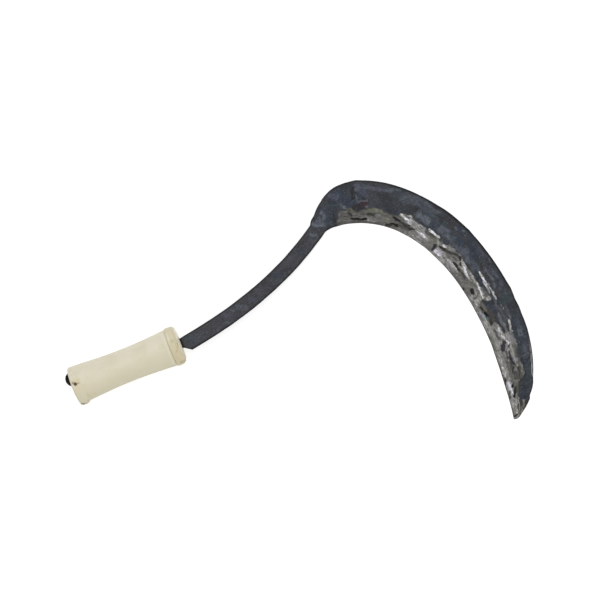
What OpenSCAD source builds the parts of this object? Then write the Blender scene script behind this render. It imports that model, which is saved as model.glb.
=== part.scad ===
// Hand sickle: one forging of blade, shank and tang, in a plastic grip with a front ferrule
// Millimetres. +X runs along the grip towards the blade, +Y to the back of the blade, +Z up.
// The origin is on the grip's axis at its waist, where the hand closes.
// The blade lies flat on the table and the grip's rear bead touches the table.

/* [Grip] */
// Length of the grip with its ferrule
handle_l = 112.8; // [80:0.2:160]
// Diameter at the waist
waist_d = 33.6; // [30:0.2:40]
// Radius of the long hollow curve that forms the waist
waist_curve_r = 475; // [300:5:900]
// Largest diameter of the grip's body
body_d = 37.8; // [35:0.2:44]
// Rounding of the grip's rear end
body_round = 3.5; // [1:0.5:8]
// Rounding of the body's front edge at the ferrule's groove
groove_round = 1.2; // [0.4:0.2:3]

/* [Rear bead] */
// Diameter of the bead round the rear end
bead_d = 40; // [39:0.5:50]
// Width of the bead along the grip
bead_w = 11.5; // [9:0.5:16]
// How far the bead is shifted towards the cutting side
bead_shift = 1; // [0:0.25:2]

/* [Ferrule] */
// Outer diameter
ferrule_d = 39.5; // [36:0.5:46]
// Width along the grip
ferrule_w = 9.8; // [8:0.2:16]
// Rounding of its front edge
ferrule_round = 4.5; // [1:0.5:6]
// Diameter of the nose of the grip that it sits on
nose_d = 30.4; // [26:0.2:31]
// Thickness of its front wall
ferrule_wall = 1.8; // [1.2:0.1:3]
// Height of the lip round the tang's slot
lip_h = 0.8; // [0.2:0.1:2]
// Width of that lip
lip_w = 1.6; // [0.8:0.1:2.4]

/* [Pins] */
// Diameter of the pin near the butt
pin_d = 3; // [2:0.1:4]
// Distance of that pin from the butt face
pin_inset = 4.4; // [3:0.1:12]
// Sideways place of that pin
pin_y = 1.2; // [0:0.1:3]
// Diameter of the peg in the ferrule
peg_d = 3; // [1.5:0.1:3.6]
// Angle of the peg from straight up
peg_angle = 16; // [0:1:60]
// Depth of the peg in the grip's nose
peg_depth = 3; // [1:0.2:5]
// How far pin and peg are sunk below the surface
pin_sink = 0.4; // [0.1:0.1:1.5]

/* [Tang] */
// Width where the tang enters the ferrule
tang_front_w = 12.4; // [8:0.2:16]
// Width where it leaves the butt
tang_rear_w = 4.7; // [3.5:0.1:5.5]
// Thickness at the front
tang_front_t = 5; // [3:0.1:7]
// Thickness at the butt
tang_rear_t = 4; // [3:0.1:6]
// Sideways place where it leaves the butt
tang_rear_y = 2.6; // [0:0.1:4]
// Length of full tang width in front of the ferrule
tang_lead = 2; // [1:0.5:6]
// Radius of the bent-over end, on its centre line
clinch_r = 4.65; // [3:0.05:5]
// Depth to which its point is driven back into the butt
clinch_depth = 8; // [5:0.5:14]

/* [Shank] */
// Length along its lower edge
shank_l = 176.6; // [120:0.2:220]
// Width of the flat bar
shank_w = 16.2; // [12:0.2:20]
// Thickness of the flat bar
shank_t = 5; // [3.5:0.1:7]
// Length of the shoulder between the tang and the full bar
shoulder_l = 7; // [4:0.5:12]
// Sideways place of the lower edge at the shoulder
shank_y = -9.8; // [-12:0.1:-8]
// Direction of the lower edge at the shoulder, in degrees
shank_start_angle = 8.8; // [4:0.2:14]
// Direction of the lower edge at the heel, in degrees
shank_end_angle = 33.9; // [26:0.5:42]
// How late the bend comes, where 1 is an even bend
shank_bend_power = 1.26; // [1:0.02:2]

/* [Blade outline] */
// Radius of the inside corner between shank and cutting edge
corner_r = 14; // [8:0.5:24]
// Turn of that corner in degrees
corner_turn = 33.8; // [25:0.5:42]
// Radius of the cutting edge next to the corner
edge_heel_r = 60; // [45:1:80]
// Turn of that stretch in degrees
edge_heel_turn = 13.3; // [8:0.1:20]
// Radius of the next stretch of the edge
edge_upper_r = 100; // [80:1:140]
// Turn of that stretch in degrees
edge_upper_turn = 44.7; // [30:0.1:55]
// Radius of the middle stretch
edge_middle_r = 174; // [130:1:240]
// Turn of that stretch in degrees
edge_middle_turn = 19.3; // [10:0.1:28]
// Radius of the lower stretch
edge_lower_r = 300; // [220:5:420]
// Turn of that stretch in degrees
edge_lower_turn = 14.6; // [8:0.1:20]
// Radius of the stretch at the point
edge_point_r = 600; // [400:10:900]
// Length of that stretch
edge_point_l = 70; // [50:1:95]
// Full width of the blade
blade_w = 42.6; // [34:0.1:52]
// Length over which the back flares out of the shank
flare_l = 15.3; // [10:0.1:24]
// How suddenly that flare begins
flare_power = 1.7; // [1.2:0.1:2.4]
// How far in front of the corner the flare begins
flare_lead = 2.4; // [0:0.2:8]
// Length of the taper from full width to the point
taper_l = 167; // [110:1:200]
// How late the taper comes
taper_power = 3.3; // [1.8:0.1:4]
// How pointed its end is, where 0.5 is round and 1 is straight
taper_point = 0.7; // [0.5:0.01:1]
// Width of the blunt point
point_w = 5; // [2:0.5:8]

/* [Blade section] */
// Thickness of the back at the heel
back_t = 3.4; // [2.4:0.1:5]
// Thickness of the back at the point
point_t = 2.2; // [1.4:0.1:3]
// Thickness of the cutting edge
edge_t = 0.6; // [0.3:0.05:1]
// Width of the bevel where it begins
bevel_start_w = 13; // [6:0.5:20]
// Width of the bevel at the point, before the narrowing blade limits it
bevel_end_w = 34; // [20:0.5:38]
// Distance of the bevel's beginning from the corner
bevel_start = 18; // [10:1:40]
// Length over which it begins
bevel_run = 8; // [2:0.5:14]
// How far in front of the corner the bar begins to thin
thinning_lead = 40; // [10:1:80]
// Length over which it thins to the blade's back
thinning_l = 70; // [30:1:120]
// Thickness at the top of the bevel as a share of the back's thickness
plate_share = 0.85; // [0.7:0.01:1]
// Softened corner of the bar and of the back
bar_round = 0.7; // [0.3:0.05:0.9]

/* [Fit] */
// Clearance round the tang in its slots
slot_clearance = 0.15; // [0.1:0.05:0.4]
// Radial clearance of pin, peg and ferrule seat
pin_clearance = 0.05; // [0.02:0.01:0.1]

/* [Hidden] */
$fn = 96;
waist_curve_facets = 1080;
over = 1;

steel_colour = [0.25, 0.27, 0.30];
plastic_colour = [0.86, 0.83, 0.75];
ferrule_colour = [0.81, 0.77, 0.64];
rust_colour = [0.45, 0.30, 0.15];

butt_x = -handle_l / 2;
front_x = handle_l / 2;
groove_x = front_x - ferrule_w;
nose_l = ferrule_w - ferrule_wall - slot_clearance;
table_drop = bead_d / 2;
bead_round = body_round;

// The tang's sides run straight from the butt to this place in front of the ferrule
tang_front_x = front_x + tang_lead;
shank_x = tang_front_x + shoulder_l;
slot_h = tang_front_t + 2 * slot_clearance;

// Stretches of the lower and cutting edge, as distances from the shoulder
corner_l = corner_r * corner_turn * PI / 180;
heel_l = edge_heel_r * edge_heel_turn * PI / 180;
upper_l = edge_upper_r * edge_upper_turn * PI / 180;
middle_l = edge_middle_r * edge_middle_turn * PI / 180;
lower_l = edge_lower_r * edge_lower_turn * PI / 180;
corner_end = shank_l + corner_l;
heel_end = corner_end + heel_l;
upper_end = heel_end + upper_l;
middle_end = upper_end + middle_l;
lower_end = middle_end + lower_l;
edge_end = lower_end + edge_point_l;
blade_l = edge_end - corner_end;

function limit(v, low, high) = max(low, min(high, v));
function mix(a, b, share) = a + (b - a) * share;
function ease(share) = let (u = limit(share, 0, 1)) u * u * (3 - 2 * u);

// Degrees turned to the right on an arc that starts at one distance and has a given length
function turned(d, start, length, turn) = turn * limit((d - start) / length, 0, 1);

// Direction of the lower and cutting edge at distance d
function heading(d) =
    mix(shank_start_angle, shank_end_angle, pow(limit(d / shank_l, 0, 1), shank_bend_power))
    - turned(d, shank_l, corner_l, corner_turn)
    - turned(d, corner_end, heel_l, edge_heel_turn)
    - turned(d, heel_end, upper_l, edge_upper_turn)
    - turned(d, upper_end, middle_l, edge_middle_turn)
    - turned(d, middle_end, lower_l, edge_lower_turn)
    - turned(d, lower_end, edge_point_l, edge_point_l / edge_point_r * 180 / PI);

// Width of the steel to the left of that edge: bar, flare at the heel, taper to the blunt point
function flare(d) = let (s = max(0, d - shank_l + flare_lead)) 1 - exp(-pow(s / flare_l, flare_power));
function taper(d) =
    let (u = limit((d - edge_end + taper_l) / taper_l, 0, 1))
    pow(1 - pow(u, taper_power), taper_point);
function full_w(d) = mix(shank_w, blade_w, flare(d));
function width(d) = mix(point_w, full_w(d), taper(d));

// Share of the way from the corner to the point
function along(d) = limit((d - corner_end) / blade_l, 0, 1);

// Share of the blade's own section, 0 on the bar and 1 on the bevelled blade
function bladed(d) = ease((d - shank_l - bevel_start) / bevel_run + 0.5);

// Thickness of the back at distance d
function thickness(d) =
    mix(shank_t, mix(back_t, point_t, along(d)), ease((d - shank_l + thinning_lead) / thinning_l));

// Height of the underside: the shank drops from the grip's axis to the table
function underside(d) = mix(-shank_t / 2, -table_drop, ease(d / shank_l));

function bevel(d) = min(mix(bevel_start_w, bevel_end_w, along(d)), width(d) - 2 * bar_round);

// Eight points round the steel between its right and left side, where zb is the underside's height,
// t the thickness and round_r the softened corners at the left, b the bevel's width and ts the thickness
// at its top, te and tl the top and bottom of the right side, and cb the corner below it
function ring(right, left, zb, t, round_r, b, ts, te, tl, cb) =
    let (w = norm(left - right), dir = (left - right) / w)
    [for (p = [
        [cb, 0], [w - round_r, 0], [w, round_r], [w, t - round_r],
        [w - round_r, t], [b, ts], [0, te], [0, tl]])
        [right.x + dir.x * p.x, right.y + dir.y * p.x, zb + p.y]];

function bar_ring(right, left, zb, t, round_r) =
    ring(right, left, zb, t, round_r, round_r, t, t - round_r, round_r, round_r);

// Bent-over end: point in the butt, half turn outside the butt face
clinch_y = tang_rear_y + clinch_r;
clinch_round = 0.5;
clinch_steps = 12;
clinch_point_w = 1.8;
clinch_point_x = butt_x + clinch_depth;
function clinch_at(a, r) = [butt_x - r * sin(a), clinch_y + r * cos(a)];
clinch_point_ring = bar_ring(
    [clinch_point_x, clinch_y + clinch_r + clinch_point_w / 2],
    [clinch_point_x, clinch_y + clinch_r - clinch_point_w / 2],
    -clinch_point_w / 2, clinch_point_w, clinch_round);
clinch_rings = [for (i = [0 : clinch_steps])
    let (a = 180 * i / clinch_steps)
    bar_ring(clinch_at(a, clinch_r + tang_rear_w / 2), clinch_at(a, clinch_r - tang_rear_w / 2),
        -tang_rear_t / 2, tang_rear_t, clinch_round)];
tang_front_ring = bar_ring([tang_front_x, -tang_front_w / 2], [tang_front_x, tang_front_w / 2],
    -tang_front_t / 2, tang_front_t, bar_round);

// Distances of the rings along the shank, the corner and the cutting edge, closer towards the point
shank_steps = 36;
corner_steps = 8;
blade_steps = 96;
point_crowding = 1.4;
stations = concat(
    [for (i = [0 : shank_steps - 1]) shank_l * i / shank_steps],
    [for (i = [0 : corner_steps - 1]) shank_l + corner_l * i / corner_steps],
    [for (i = [0 : blade_steps]) edge_end - blade_l * pow(1 - i / blade_steps, point_crowding)]);
last = len(stations) - 1;

// The edge is followed from ring to ring in the direction halfway between them
function step(i) =
    let (a = heading((stations[i] + stations[i + 1]) / 2))
    (stations[i + 1] - stations[i]) * [cos(a), sin(a)];
edge_points = [for (i = 0, p = [shank_x, shank_y]; i <= last; p = i < last ? p + step(i) : p, i = i + 1) p];

function steel_ring(i) =
    let (d = stations[i], a = heading(d), w = width(d), t = thickness(d), g = bladed(d))
    ring(edge_points[i], edge_points[i] + w * [-sin(a), cos(a)], underside(d), t, bar_round,
        mix(bar_round, bevel(d), g), mix(t, t * plate_share, g), mix(t - bar_round, edge_t, g),
        mix(bar_round, edge_t / 3, g), mix(bar_round, edge_t / 2, g));

forging_rings = concat(
    [clinch_point_ring], clinch_rings, [tang_front_ring],
    [for (i = [0 : last]) steel_ring(i)]);

// Surface of a bar through a list of rings with the same number of points
module skin(rings) {
    n = len(rings[0]);
    m = len(rings);
    sides = [for (j = [0 : m - 2], i = [0 : n - 1]) each [
        [j * n + i, (j + 1) * n + i, j * n + (i + 1) % n],
        [j * n + (i + 1) % n, (j + 1) * n + i, (j + 1) * n + (i + 1) % n]]];
    first_end = [for (i = [1 : n - 2]) [0, i, i + 1]];
    last_end = [for (i = [1 : n - 2]) [(m - 1) * n, (m - 1) * n + i + 1, (m - 1) * n + i]];
    polyhedron(points = [for (r = rings) each r], faces = concat(sides, first_end, last_end));
}

// Square with its two outer corners rounded, from x 0 to r and y 0 to w
module rounded_band(r, w, low_round, high_round) {
    difference() {
        square([r, w]);
        if (low_round > 0)
            translate([r - low_round, 0]) corner_waste(low_round);
        if (high_round > 0)
            translate([r - high_round, w]) mirror([0, 1]) corner_waste(high_round);
    }
}

module corner_waste(r) {
    difference() {
        translate([0, -over]) square([r + over, r + over]);
        translate([0, r]) circle(r);
    }
}

// Turns a profile of radius and height round the grip's axis
module turned_on_axis(x) {
    translate([x, 0, 0]) rotate([0, 90, 0]) rotate_extrude() children();
}

module waist_profile() {
    difference() {
        rounded_band(body_d / 2, groove_x - butt_x, body_round, groove_round);
        translate([waist_d / 2 + waist_curve_r, -butt_x]) circle(waist_curve_r, $fn = waist_curve_facets);
    }
}

// Plan of the tang's slot, wider than the tang by the clearance on each side
module tang_slot() {
    c = slot_clearance;
    translate([0, 0, -slot_h / 2]) linear_extrude(slot_h) polygon([
        [butt_x - over, tang_rear_y - tang_rear_w / 2 - c],
        [butt_x, tang_rear_y - tang_rear_w / 2 - c],
        [tang_front_x, -tang_front_w / 2 - c],
        [tang_front_x + over, -tang_front_w / 2 - c],
        [tang_front_x + over, tang_front_w / 2 + c],
        [tang_front_x, tang_front_w / 2 + c],
        [butt_x, tang_rear_y + tang_rear_w / 2 + c],
        [butt_x - over, tang_rear_y + tang_rear_w / 2 + c]]);
}

module clinch_slot() {
    w = tang_rear_w + 2 * slot_clearance;
    h = tang_rear_t + 2 * slot_clearance;
    translate([butt_x - over, clinch_y + clinch_r - w / 2, -h / 2])
        cube([clinch_depth + over + slot_clearance, w, h]);
}

// Heights of the pin above the axis: from just over the tang to just under the bead's surface
pin_x = butt_x + pin_inset;
pin_low = tang_front_t / 2 + slot_clearance;
pin_high = sqrt(pow(bead_d / 2, 2) - pow(pin_y + bead_shift, 2)) - pin_sink;
pin_point_l = 3;

module pin_hole() {
    translate([pin_x, pin_y, 0]) cylinder(r = pin_d / 2 + pin_clearance, h = bead_d);
}

// The peg stands square to the ferrule's surface
peg_x = front_x - ferrule_w / 2;
peg_low = nose_d / 2 - peg_depth;
peg_high = ferrule_d / 2 - pin_sink;

module peg_shaft(r, low, high) {
    rotate([-peg_angle, 0, 0]) translate([peg_x, 0, low]) cylinder(r = r, h = high - low);
}

module peg_hole() {
    peg_shaft(peg_d / 2 + pin_clearance, peg_low - pin_clearance, ferrule_d);
}

module blade() {
    color(steel_colour) skin(forging_rings);
}

module handle() {
    color(plastic_colour) difference() {
        union() {
            turned_on_axis(butt_x) waist_profile();
            translate([0, -bead_shift, 0]) turned_on_axis(butt_x)
                rounded_band(bead_d / 2, bead_w, bead_round, bead_round);
            turned_on_axis(groove_x - over) square([nose_d / 2, nose_l + over]);
        }
        tang_slot();
        clinch_slot();
        pin_hole();
        peg_hole();
    }
}

module ferrule() {
    color(ferrule_colour) difference() {
        union() {
            turned_on_axis(groove_x) rounded_band(ferrule_d / 2, ferrule_w, groove_round / 2, ferrule_round);
            translate([front_x - over, -tang_front_w / 2 - lip_w, -slot_h / 2 - lip_w])
                cube([over + lip_h, tang_front_w + 2 * lip_w, slot_h + 2 * lip_w]);
        }
        turned_on_axis(groove_x - over) square([nose_d / 2 + pin_clearance, nose_l + slot_clearance + over]);
        tang_slot();
        peg_hole();
    }
}

module butt_pin() {
    color(rust_colour) translate([pin_x, pin_y, pin_low]) {
        cylinder(r1 = pin_d / 4, r2 = pin_d / 2, h = pin_point_l);
        translate([0, 0, pin_point_l]) cylinder(r = pin_d / 2, h = pin_high - pin_low - pin_point_l);
    }
}

module ferrule_peg() {
    color(ferrule_colour) peg_shaft(peg_d / 2, peg_low, peg_high);
}

blade();
handle();
ferrule();
butt_pin();
ferrule_peg();
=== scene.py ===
# Hand sickle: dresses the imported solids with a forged, ground blade and a worn plastic grip.
# Shapes are worked out in millimetres and put into the meshes in metres. Values to change are in the
# dictionaries, and the marks that the photograph shows are the strokes in the tables.
import math

import bpy
import numpy as np
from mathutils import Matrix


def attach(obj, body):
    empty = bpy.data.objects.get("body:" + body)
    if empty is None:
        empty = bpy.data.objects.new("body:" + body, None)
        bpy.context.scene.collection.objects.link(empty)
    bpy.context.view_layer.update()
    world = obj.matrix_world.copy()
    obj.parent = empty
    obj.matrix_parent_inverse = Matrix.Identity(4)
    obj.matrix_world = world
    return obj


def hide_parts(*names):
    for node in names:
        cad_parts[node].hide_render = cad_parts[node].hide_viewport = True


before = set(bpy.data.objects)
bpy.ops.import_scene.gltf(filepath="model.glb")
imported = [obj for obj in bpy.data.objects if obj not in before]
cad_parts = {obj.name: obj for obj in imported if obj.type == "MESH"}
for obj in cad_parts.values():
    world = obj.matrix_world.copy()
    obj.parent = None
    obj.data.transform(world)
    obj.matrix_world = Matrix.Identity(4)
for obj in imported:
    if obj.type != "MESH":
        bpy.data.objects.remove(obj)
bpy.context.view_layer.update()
mm = 0.001
quarterTurn, fullTurn = math.pi / 2, 2 * math.pi
print("frame loaded:", sorted(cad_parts))


# The camera looks straight down, with one picture pixel to a millimetre at the given level
camera = {
    "centreX": 182.29, "centreY": -3.45,   # point of the part in the middle of the picture
    "level": -18.5,                        # height at which the picture is as wide as given below
    "distance": 1620.0,                    # from that level to the lens
    "turn": 21.7,                          # degrees between the picture's right and the grip
    "pictureWide": 600.0, "sensorWide": 36.0,
}


def makeCamera(c):
    data = bpy.data.cameras.new("camera")
    data.sensor_width = c["sensorWide"]
    data.lens = c["sensorWide"] * c["distance"] / c["pictureWide"]
    data.clip_start, data.clip_end = 0.05, 20.0
    lens = bpy.data.objects.new("camera", data)
    lens.location = (c["centreX"] * mm, c["centreY"] * mm, (c["level"] + c["distance"]) * mm)
    lens.rotation_euler = (0.0, 0.0, -math.radians(c["turn"]))
    bpy.context.scene.collection.objects.link(lens)
    bpy.context.scene.camera = lens


makeCamera(camera)
print("camera set")


# Small helpers for shapes

def smooth(u):   # 0 to 1 with level ends
    u = np.clip(u, 0.0, 1.0)
    return u * u * (3.0 - 2.0 * u)


def mix(a, b, share):   # a at share 0, b at share 1
    return a + (b - a) * share


# Quarter ellipse: 1 at u = 0, falling to 0 at u = 1 and beyond
def roundOff(u):
    u = np.clip(u, 0.0, 1.0)
    return 1.0 - np.sqrt(np.maximum(0.0, 1.0 - (1.0 - u) ** 2))


# The smaller of two heights, blended over about k where they meet
def softLower(a, b, k):
    h = np.clip(0.5 + 0.5 * (b - a) / k, 0.0, 1.0)
    return mix(b, a, h) - k * h * (1.0 - h)


# Numbers from 0 to 1, closer together at both ends by as much as crowding says
def crowded(count, crowding):
    u = np.linspace(0, 1, count)
    return mix(u, 0.5 - 0.5 * np.cos(math.pi * u), crowding)


# The value at d of a row of (d, value) pairs, straight between them
def law(pairs, d):
    return np.interp(d, *np.transpose(pairs))


# Random numbers on a square lattice of the given cell, blended smoothly between its corners, -1 to 1
def softNoise(x, y, cell, seed):
    side, shift = 97, 4000.0   # cells until the lattice repeats, and from its start to the part
    table = np.random.default_rng(seed).random((side, side))
    u, v = np.asarray(x) / cell + shift, np.asarray(y) / cell + shift
    i, j = np.floor(u).astype(int), np.floor(v).astype(int)
    fu, fv = smooth(u - i), smooth(v - j)
    i0, j0, i1, j1 = i % side, j % side, (i + 1) % side, (j + 1) % side
    low = mix(table[i0, j0], table[i1, j0], fu)
    high = mix(table[i0, j1], table[i1, j1], fu)
    return mix(low, high, fv) * 2.0 - 1.0


# Layers of that noise added up, each (height, cell along, cell across, seed)
def noiseLayers(x, y, layers):
    return sum(height * softNoise(x / along, y / across, 1.0, seed) for height, along, across, seed in layers)


# Points at distance r and angle t round the grip's axis, t from the back of the blade upwards
def around(x, r, t):
    return np.stack([x, r * np.cos(t), r * np.sin(t)], -1)


# Faces from each closed ring of points to another ring, both given by number
def ringFaces(here, there, ringPoints):
    j = np.arange(ringPoints)
    k = (j + 1) % ringPoints
    a, b = here[:, None] * ringPoints, there[:, None] * ringPoints
    return np.stack([a + j, b + j, b + k, a + k], -1).reshape(-1, 4)


# A tube with closed ends: each ring joined to the next, the first and last to a point of their own
def tubeShell(rings, ends):
    count, size = rings.shape[:2]
    j = np.arange(size)
    k, end = (j + 1) % size, (count - 1) * size
    caps = np.concatenate([np.stack([0 * j + count * size, j, k], -1),
                           np.stack([0 * j + count * size + 1, end + k, end + j], -1)])
    i = np.arange(count - 1)
    return np.concatenate([rings.reshape(-1, 3), ends]), [ringFaces(i, i + 1, size), caps]


# Values on the rings of such a tube, with those of its two end points
def tubeValues(values):
    flat = values.reshape(-1, *values.shape[2:])
    return np.concatenate([flat, flat[:1], flat[-1:]])


# A hoop: each ring joined to the next, and the last to the first
def hoopShell(rings):
    i = np.arange(len(rings))
    return rings.reshape(-1, 3), [ringFaces(i, np.roll(i, -1), rings.shape[1])]


# Six times the volume that the faces enclose, positive where they point outwards
def enclosed(points, faces):
    a, b, c = points[faces[:, 0]], points[faces[:, 1]], points[faces[:, 2]]
    total = np.einsum("ij,ij->i", a, np.cross(b, c)).sum()
    if faces.shape[1] == 4:
        total += np.einsum("ij,ij->i", a, np.cross(c, points[faces[:, 3]])).sum()
    return total


# A mesh from closed shells, each (points in mm, list of face arrays), turned outwards, with its painted masks
def makePiece(name, shells, material, masks, node):
    points, faces, start = [], [], 0
    for shellPoints, groups in shells:
        inward = sum(enclosed(shellPoints, g) for g in groups) < 0
        for g in groups:
            faces += ((g[:, ::-1] if inward else g) + start).tolist()
        points.append(shellPoints)
        start += len(shellPoints)
    mesh = bpy.data.meshes.new(name)
    mesh.from_pydata(np.concatenate(points) * mm, [], faces)
    mesh.polygons.foreach_set("use_smooth", np.ones(len(faces), bool))
    for key, values in masks.items():
        kind, field = ("FLOAT_VECTOR", "vector") if values.ndim == 2 else ("FLOAT", "value")
        mesh.attributes.new(key, kind, "POINT").data.foreach_set(field, values.astype(np.float32).ravel())
    mesh.materials.append(material)
    mesh.update()
    piece = bpy.data.objects.new(name, mesh)
    bpy.context.scene.collection.objects.link(piece)
    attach(piece, "root")
    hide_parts(node)
    print("piece", name, "has", sum(len(f) - 2 for f in faces), "triangles")


# Small helpers for materials. A value is a plain one or another node's output

def give(tree, socket, value):
    if isinstance(value, bpy.types.NodeSocket):
        tree.links.new(value, socket)
    else:
        socket.default_value = value


def addNode(tree, kind, inputs=None, **settings):
    node = tree.nodes.new(kind)
    for key, value in settings.items():
        setattr(node, key, value)
    for key, value in (inputs or {}).items():
        give(tree, node.inputs[key], value)
    return node


def addMath(tree, operation, a, b, clamp=False):
    return addNode(tree, "ShaderNodeMath", {0: a, 1: b}, operation=operation, use_clamp=clamp).outputs[0]


def plus(tree, a, b):
    return addMath(tree, "ADD", a, b)


def minus(tree, a, b):
    return addMath(tree, "SUBTRACT", a, b)


def times(tree, a, b):
    return addMath(tree, "MULTIPLY", a, b)


def mixColours(tree, share, a, b, way="MIX"):   # a at share 0, b at share 1
    return addNode(tree, "ShaderNodeMix", {0: share, 6: a, 7: b}, data_type="RGBA", blend_type=way).outputs[2]


def mixValues(tree, share, a, b):
    return addNode(tree, "ShaderNodeMix", {0: share, 2: a, 3: b}, data_type="FLOAT").outputs[0]


def addRange(tree, value, low, high, toLow=0.0, toHigh=1.0):   # with level ends
    return addNode(tree, "ShaderNodeMapRange", {
        "Value": value, "From Min": low, "From Max": high, "To Min": toLow, "To Max": toHigh},
        interpolation_type="SMOOTHSTEP").outputs[0]


def addMask(tree, name):   # a painted value of the mesh
    return addNode(tree, "ShaderNodeAttribute", attribute_name=name).outputs["Fac"]


def paint(r, g, b):   # a colour as the screen shows it, 0 to 255, to the light it gives off
    c = np.array([r, g, b]) / 255.0
    c = np.where(c <= 0.04045, c / 12.92, ((c + 0.055) / 1.055) ** 2.4)
    return (*c.tolist(), 1.0)


def coat(tree, share, under, colour):   # a colour laid over another by its share
    return mixColours(tree, share, under, paint(*colour))


def addRamp(tree, value, stops):   # a value to a colour, by stops of (value, colour)
    node = addNode(tree, "ShaderNodeValToRGB", {"Fac": value})
    marks = node.color_ramp.elements
    for _ in stops[2:]:
        marks.new(0.5)
    for mark, (position, colour) in zip(marks, stops):
        mark.position, mark.color = position, paint(*colour)
    return node.outputs["Color"]


# A node group with its sockets: inputs are (label, kind, value), outputs (label, kind)
def startGroup(name, inputs, outputs):
    group = bpy.data.node_groups.new(name, "ShaderNodeTree")
    for label, kind, value in inputs:
        socket = group.interface.new_socket(label, in_out="INPUT", socket_type="NodeSocket" + kind)
        if value is not None:
            socket.default_value = value
    for label, kind in outputs:
        group.interface.new_socket(label, in_out="OUTPUT", socket_type="NodeSocket" + kind)
    return group, group.nodes.new("NodeGroupInput").outputs, group.nodes.new("NodeGroupOutput").inputs


# A value that rises from 0 to 1 round a half, over twice the softness
def aroundHalf(tree, value, softness):
    return addRange(tree, value, minus(tree, 0.5, softness), plus(tree, 0.5, softness))


# Blotches of two colours with soft or sharp borders
def makeMottleGroup():
    group, given, out = startGroup("softMottle", [
        ("Vector", "Vector", None), ("Cells", "Float", 100.0), ("Softness", "Float", 0.2),
        ("Shift", "Float", 0.0), ("Low", "Color", None), ("High", "Color", None)],
        [("Color", "Color"), ("Mask", "Float")])
    cloud = addNode(group, "ShaderNodeTexNoise", {
        "Vector": given["Vector"], "Scale": given["Cells"], "Detail": 3.0, "Roughness": 0.55, "Distortion": 0.3})
    mask = aroundHalf(group, plus(group, cloud.outputs["Fac"], given["Shift"]), given["Softness"])
    give(group, out["Color"], mixColours(group, mask, given["Low"], given["High"]))
    give(group, out["Mask"], mask)
    return group


# Fine grain, stretched along the first axis of the given vector
def makeGrainGroup():
    group, given, out = startGroup("stretchedGrain", [
        ("Vector", "Vector", None), ("Along", "Float", 300.0), ("Across", "Float", 300.0),
        ("Detail", "Float", 3.0)], [("Value", "Float")])
    size = addNode(group, "ShaderNodeCombineXYZ", {0: given["Along"], 1: given["Across"], 2: given["Across"]})
    spot = addNode(group, "ShaderNodeVectorMath", {0: given["Vector"], 1: size.outputs[0]}, operation="MULTIPLY")
    cloud = addNode(group, "ShaderNodeTexNoise", {
        "Vector": spot.outputs[0], "Scale": 1.0, "Detail": given["Detail"], "Roughness": 0.6})
    give(group, out["Value"], cloud.outputs["Fac"])
    return group


# A painted mask whose border is broken up by a grain
def makeWornGroup():
    group, given, out = startGroup("wornBorder", [
        ("Mask", "Float", 0.0), ("Grain", "Float", 0.5), ("Breakup", "Float", 0.4), ("Softness", "Float", 0.15)],
        [("Mask", "Float")])
    shift = times(group, minus(group, given["Grain"], 0.5), given["Breakup"])
    give(group, out["Mask"], aroundHalf(group, plus(group, given["Mask"], shift), given["Softness"]))
    return group


# A painted strength, let through more or less by a grain, so that its stain looks ragged
def makeStainGroup():
    group, given, out = startGroup("raggedStain", [
        ("Mask", "Float", 0.0), ("Grain", "Float", 0.5), ("Least", "Float", 0.4), ("Most", "Float", 1.2)],
        [("Mask", "Float")])
    let = addRange(group, given["Grain"], 0.36, 0.64, given["Least"], given["Most"])
    give(group, out["Mask"], addMath(group, "MULTIPLY", given["Mask"], let, clamp=True))
    return group


mottleGroup, grainGroup = makeMottleGroup(), makeGrainGroup()
wornGroup, stainGroup = makeWornGroup(), makeStainGroup()


def useGroup(tree, group, **inputs):
    return addNode(tree, "ShaderNodeGroup", inputs, node_tree=group).outputs


def addMottle(tree, vector, look, low, high):
    return useGroup(tree, mottleGroup, Vector=vector, Cells=look["cells"], Softness=look["softness"],
                    Low=paint(*low), High=paint(*high))


def addGrain(tree, vector, sizes):
    return useGroup(tree, grainGroup, Vector=vector, Along=sizes[0], Across=sizes[1], Detail=sizes[2])["Value"]


def addStain(tree, name, grain, least, most):
    return useGroup(tree, stainGroup, Mask=addMask(tree, name), Grain=grain, Least=least, Most=most)["Mask"]


def startMaterial(name):
    material = bpy.data.materials.new(name)
    material.use_nodes = True
    tree = material.node_tree
    place = addNode(tree, "ShaderNodeTexCoord").outputs["Object"]
    return material, tree, tree.nodes["Principled BSDF"], place


# Sends a material's colour, finish and relief to its shader
def finishMaterial(tree, shader, look, colour, rough, metal, relief):
    bump = addNode(tree, "ShaderNodeBump", {"Height": relief, "Distance": look["bumpHeight"], "Strength": 1.0})
    ends = {"Base Color": colour, "Roughness": rough, "Metallic": metal, "Normal": bump.outputs[0],
            "Specular IOR Level": look["specular"]}
    for key, value in ends.items():
        give(tree, shader.inputs[key], value)


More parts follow.
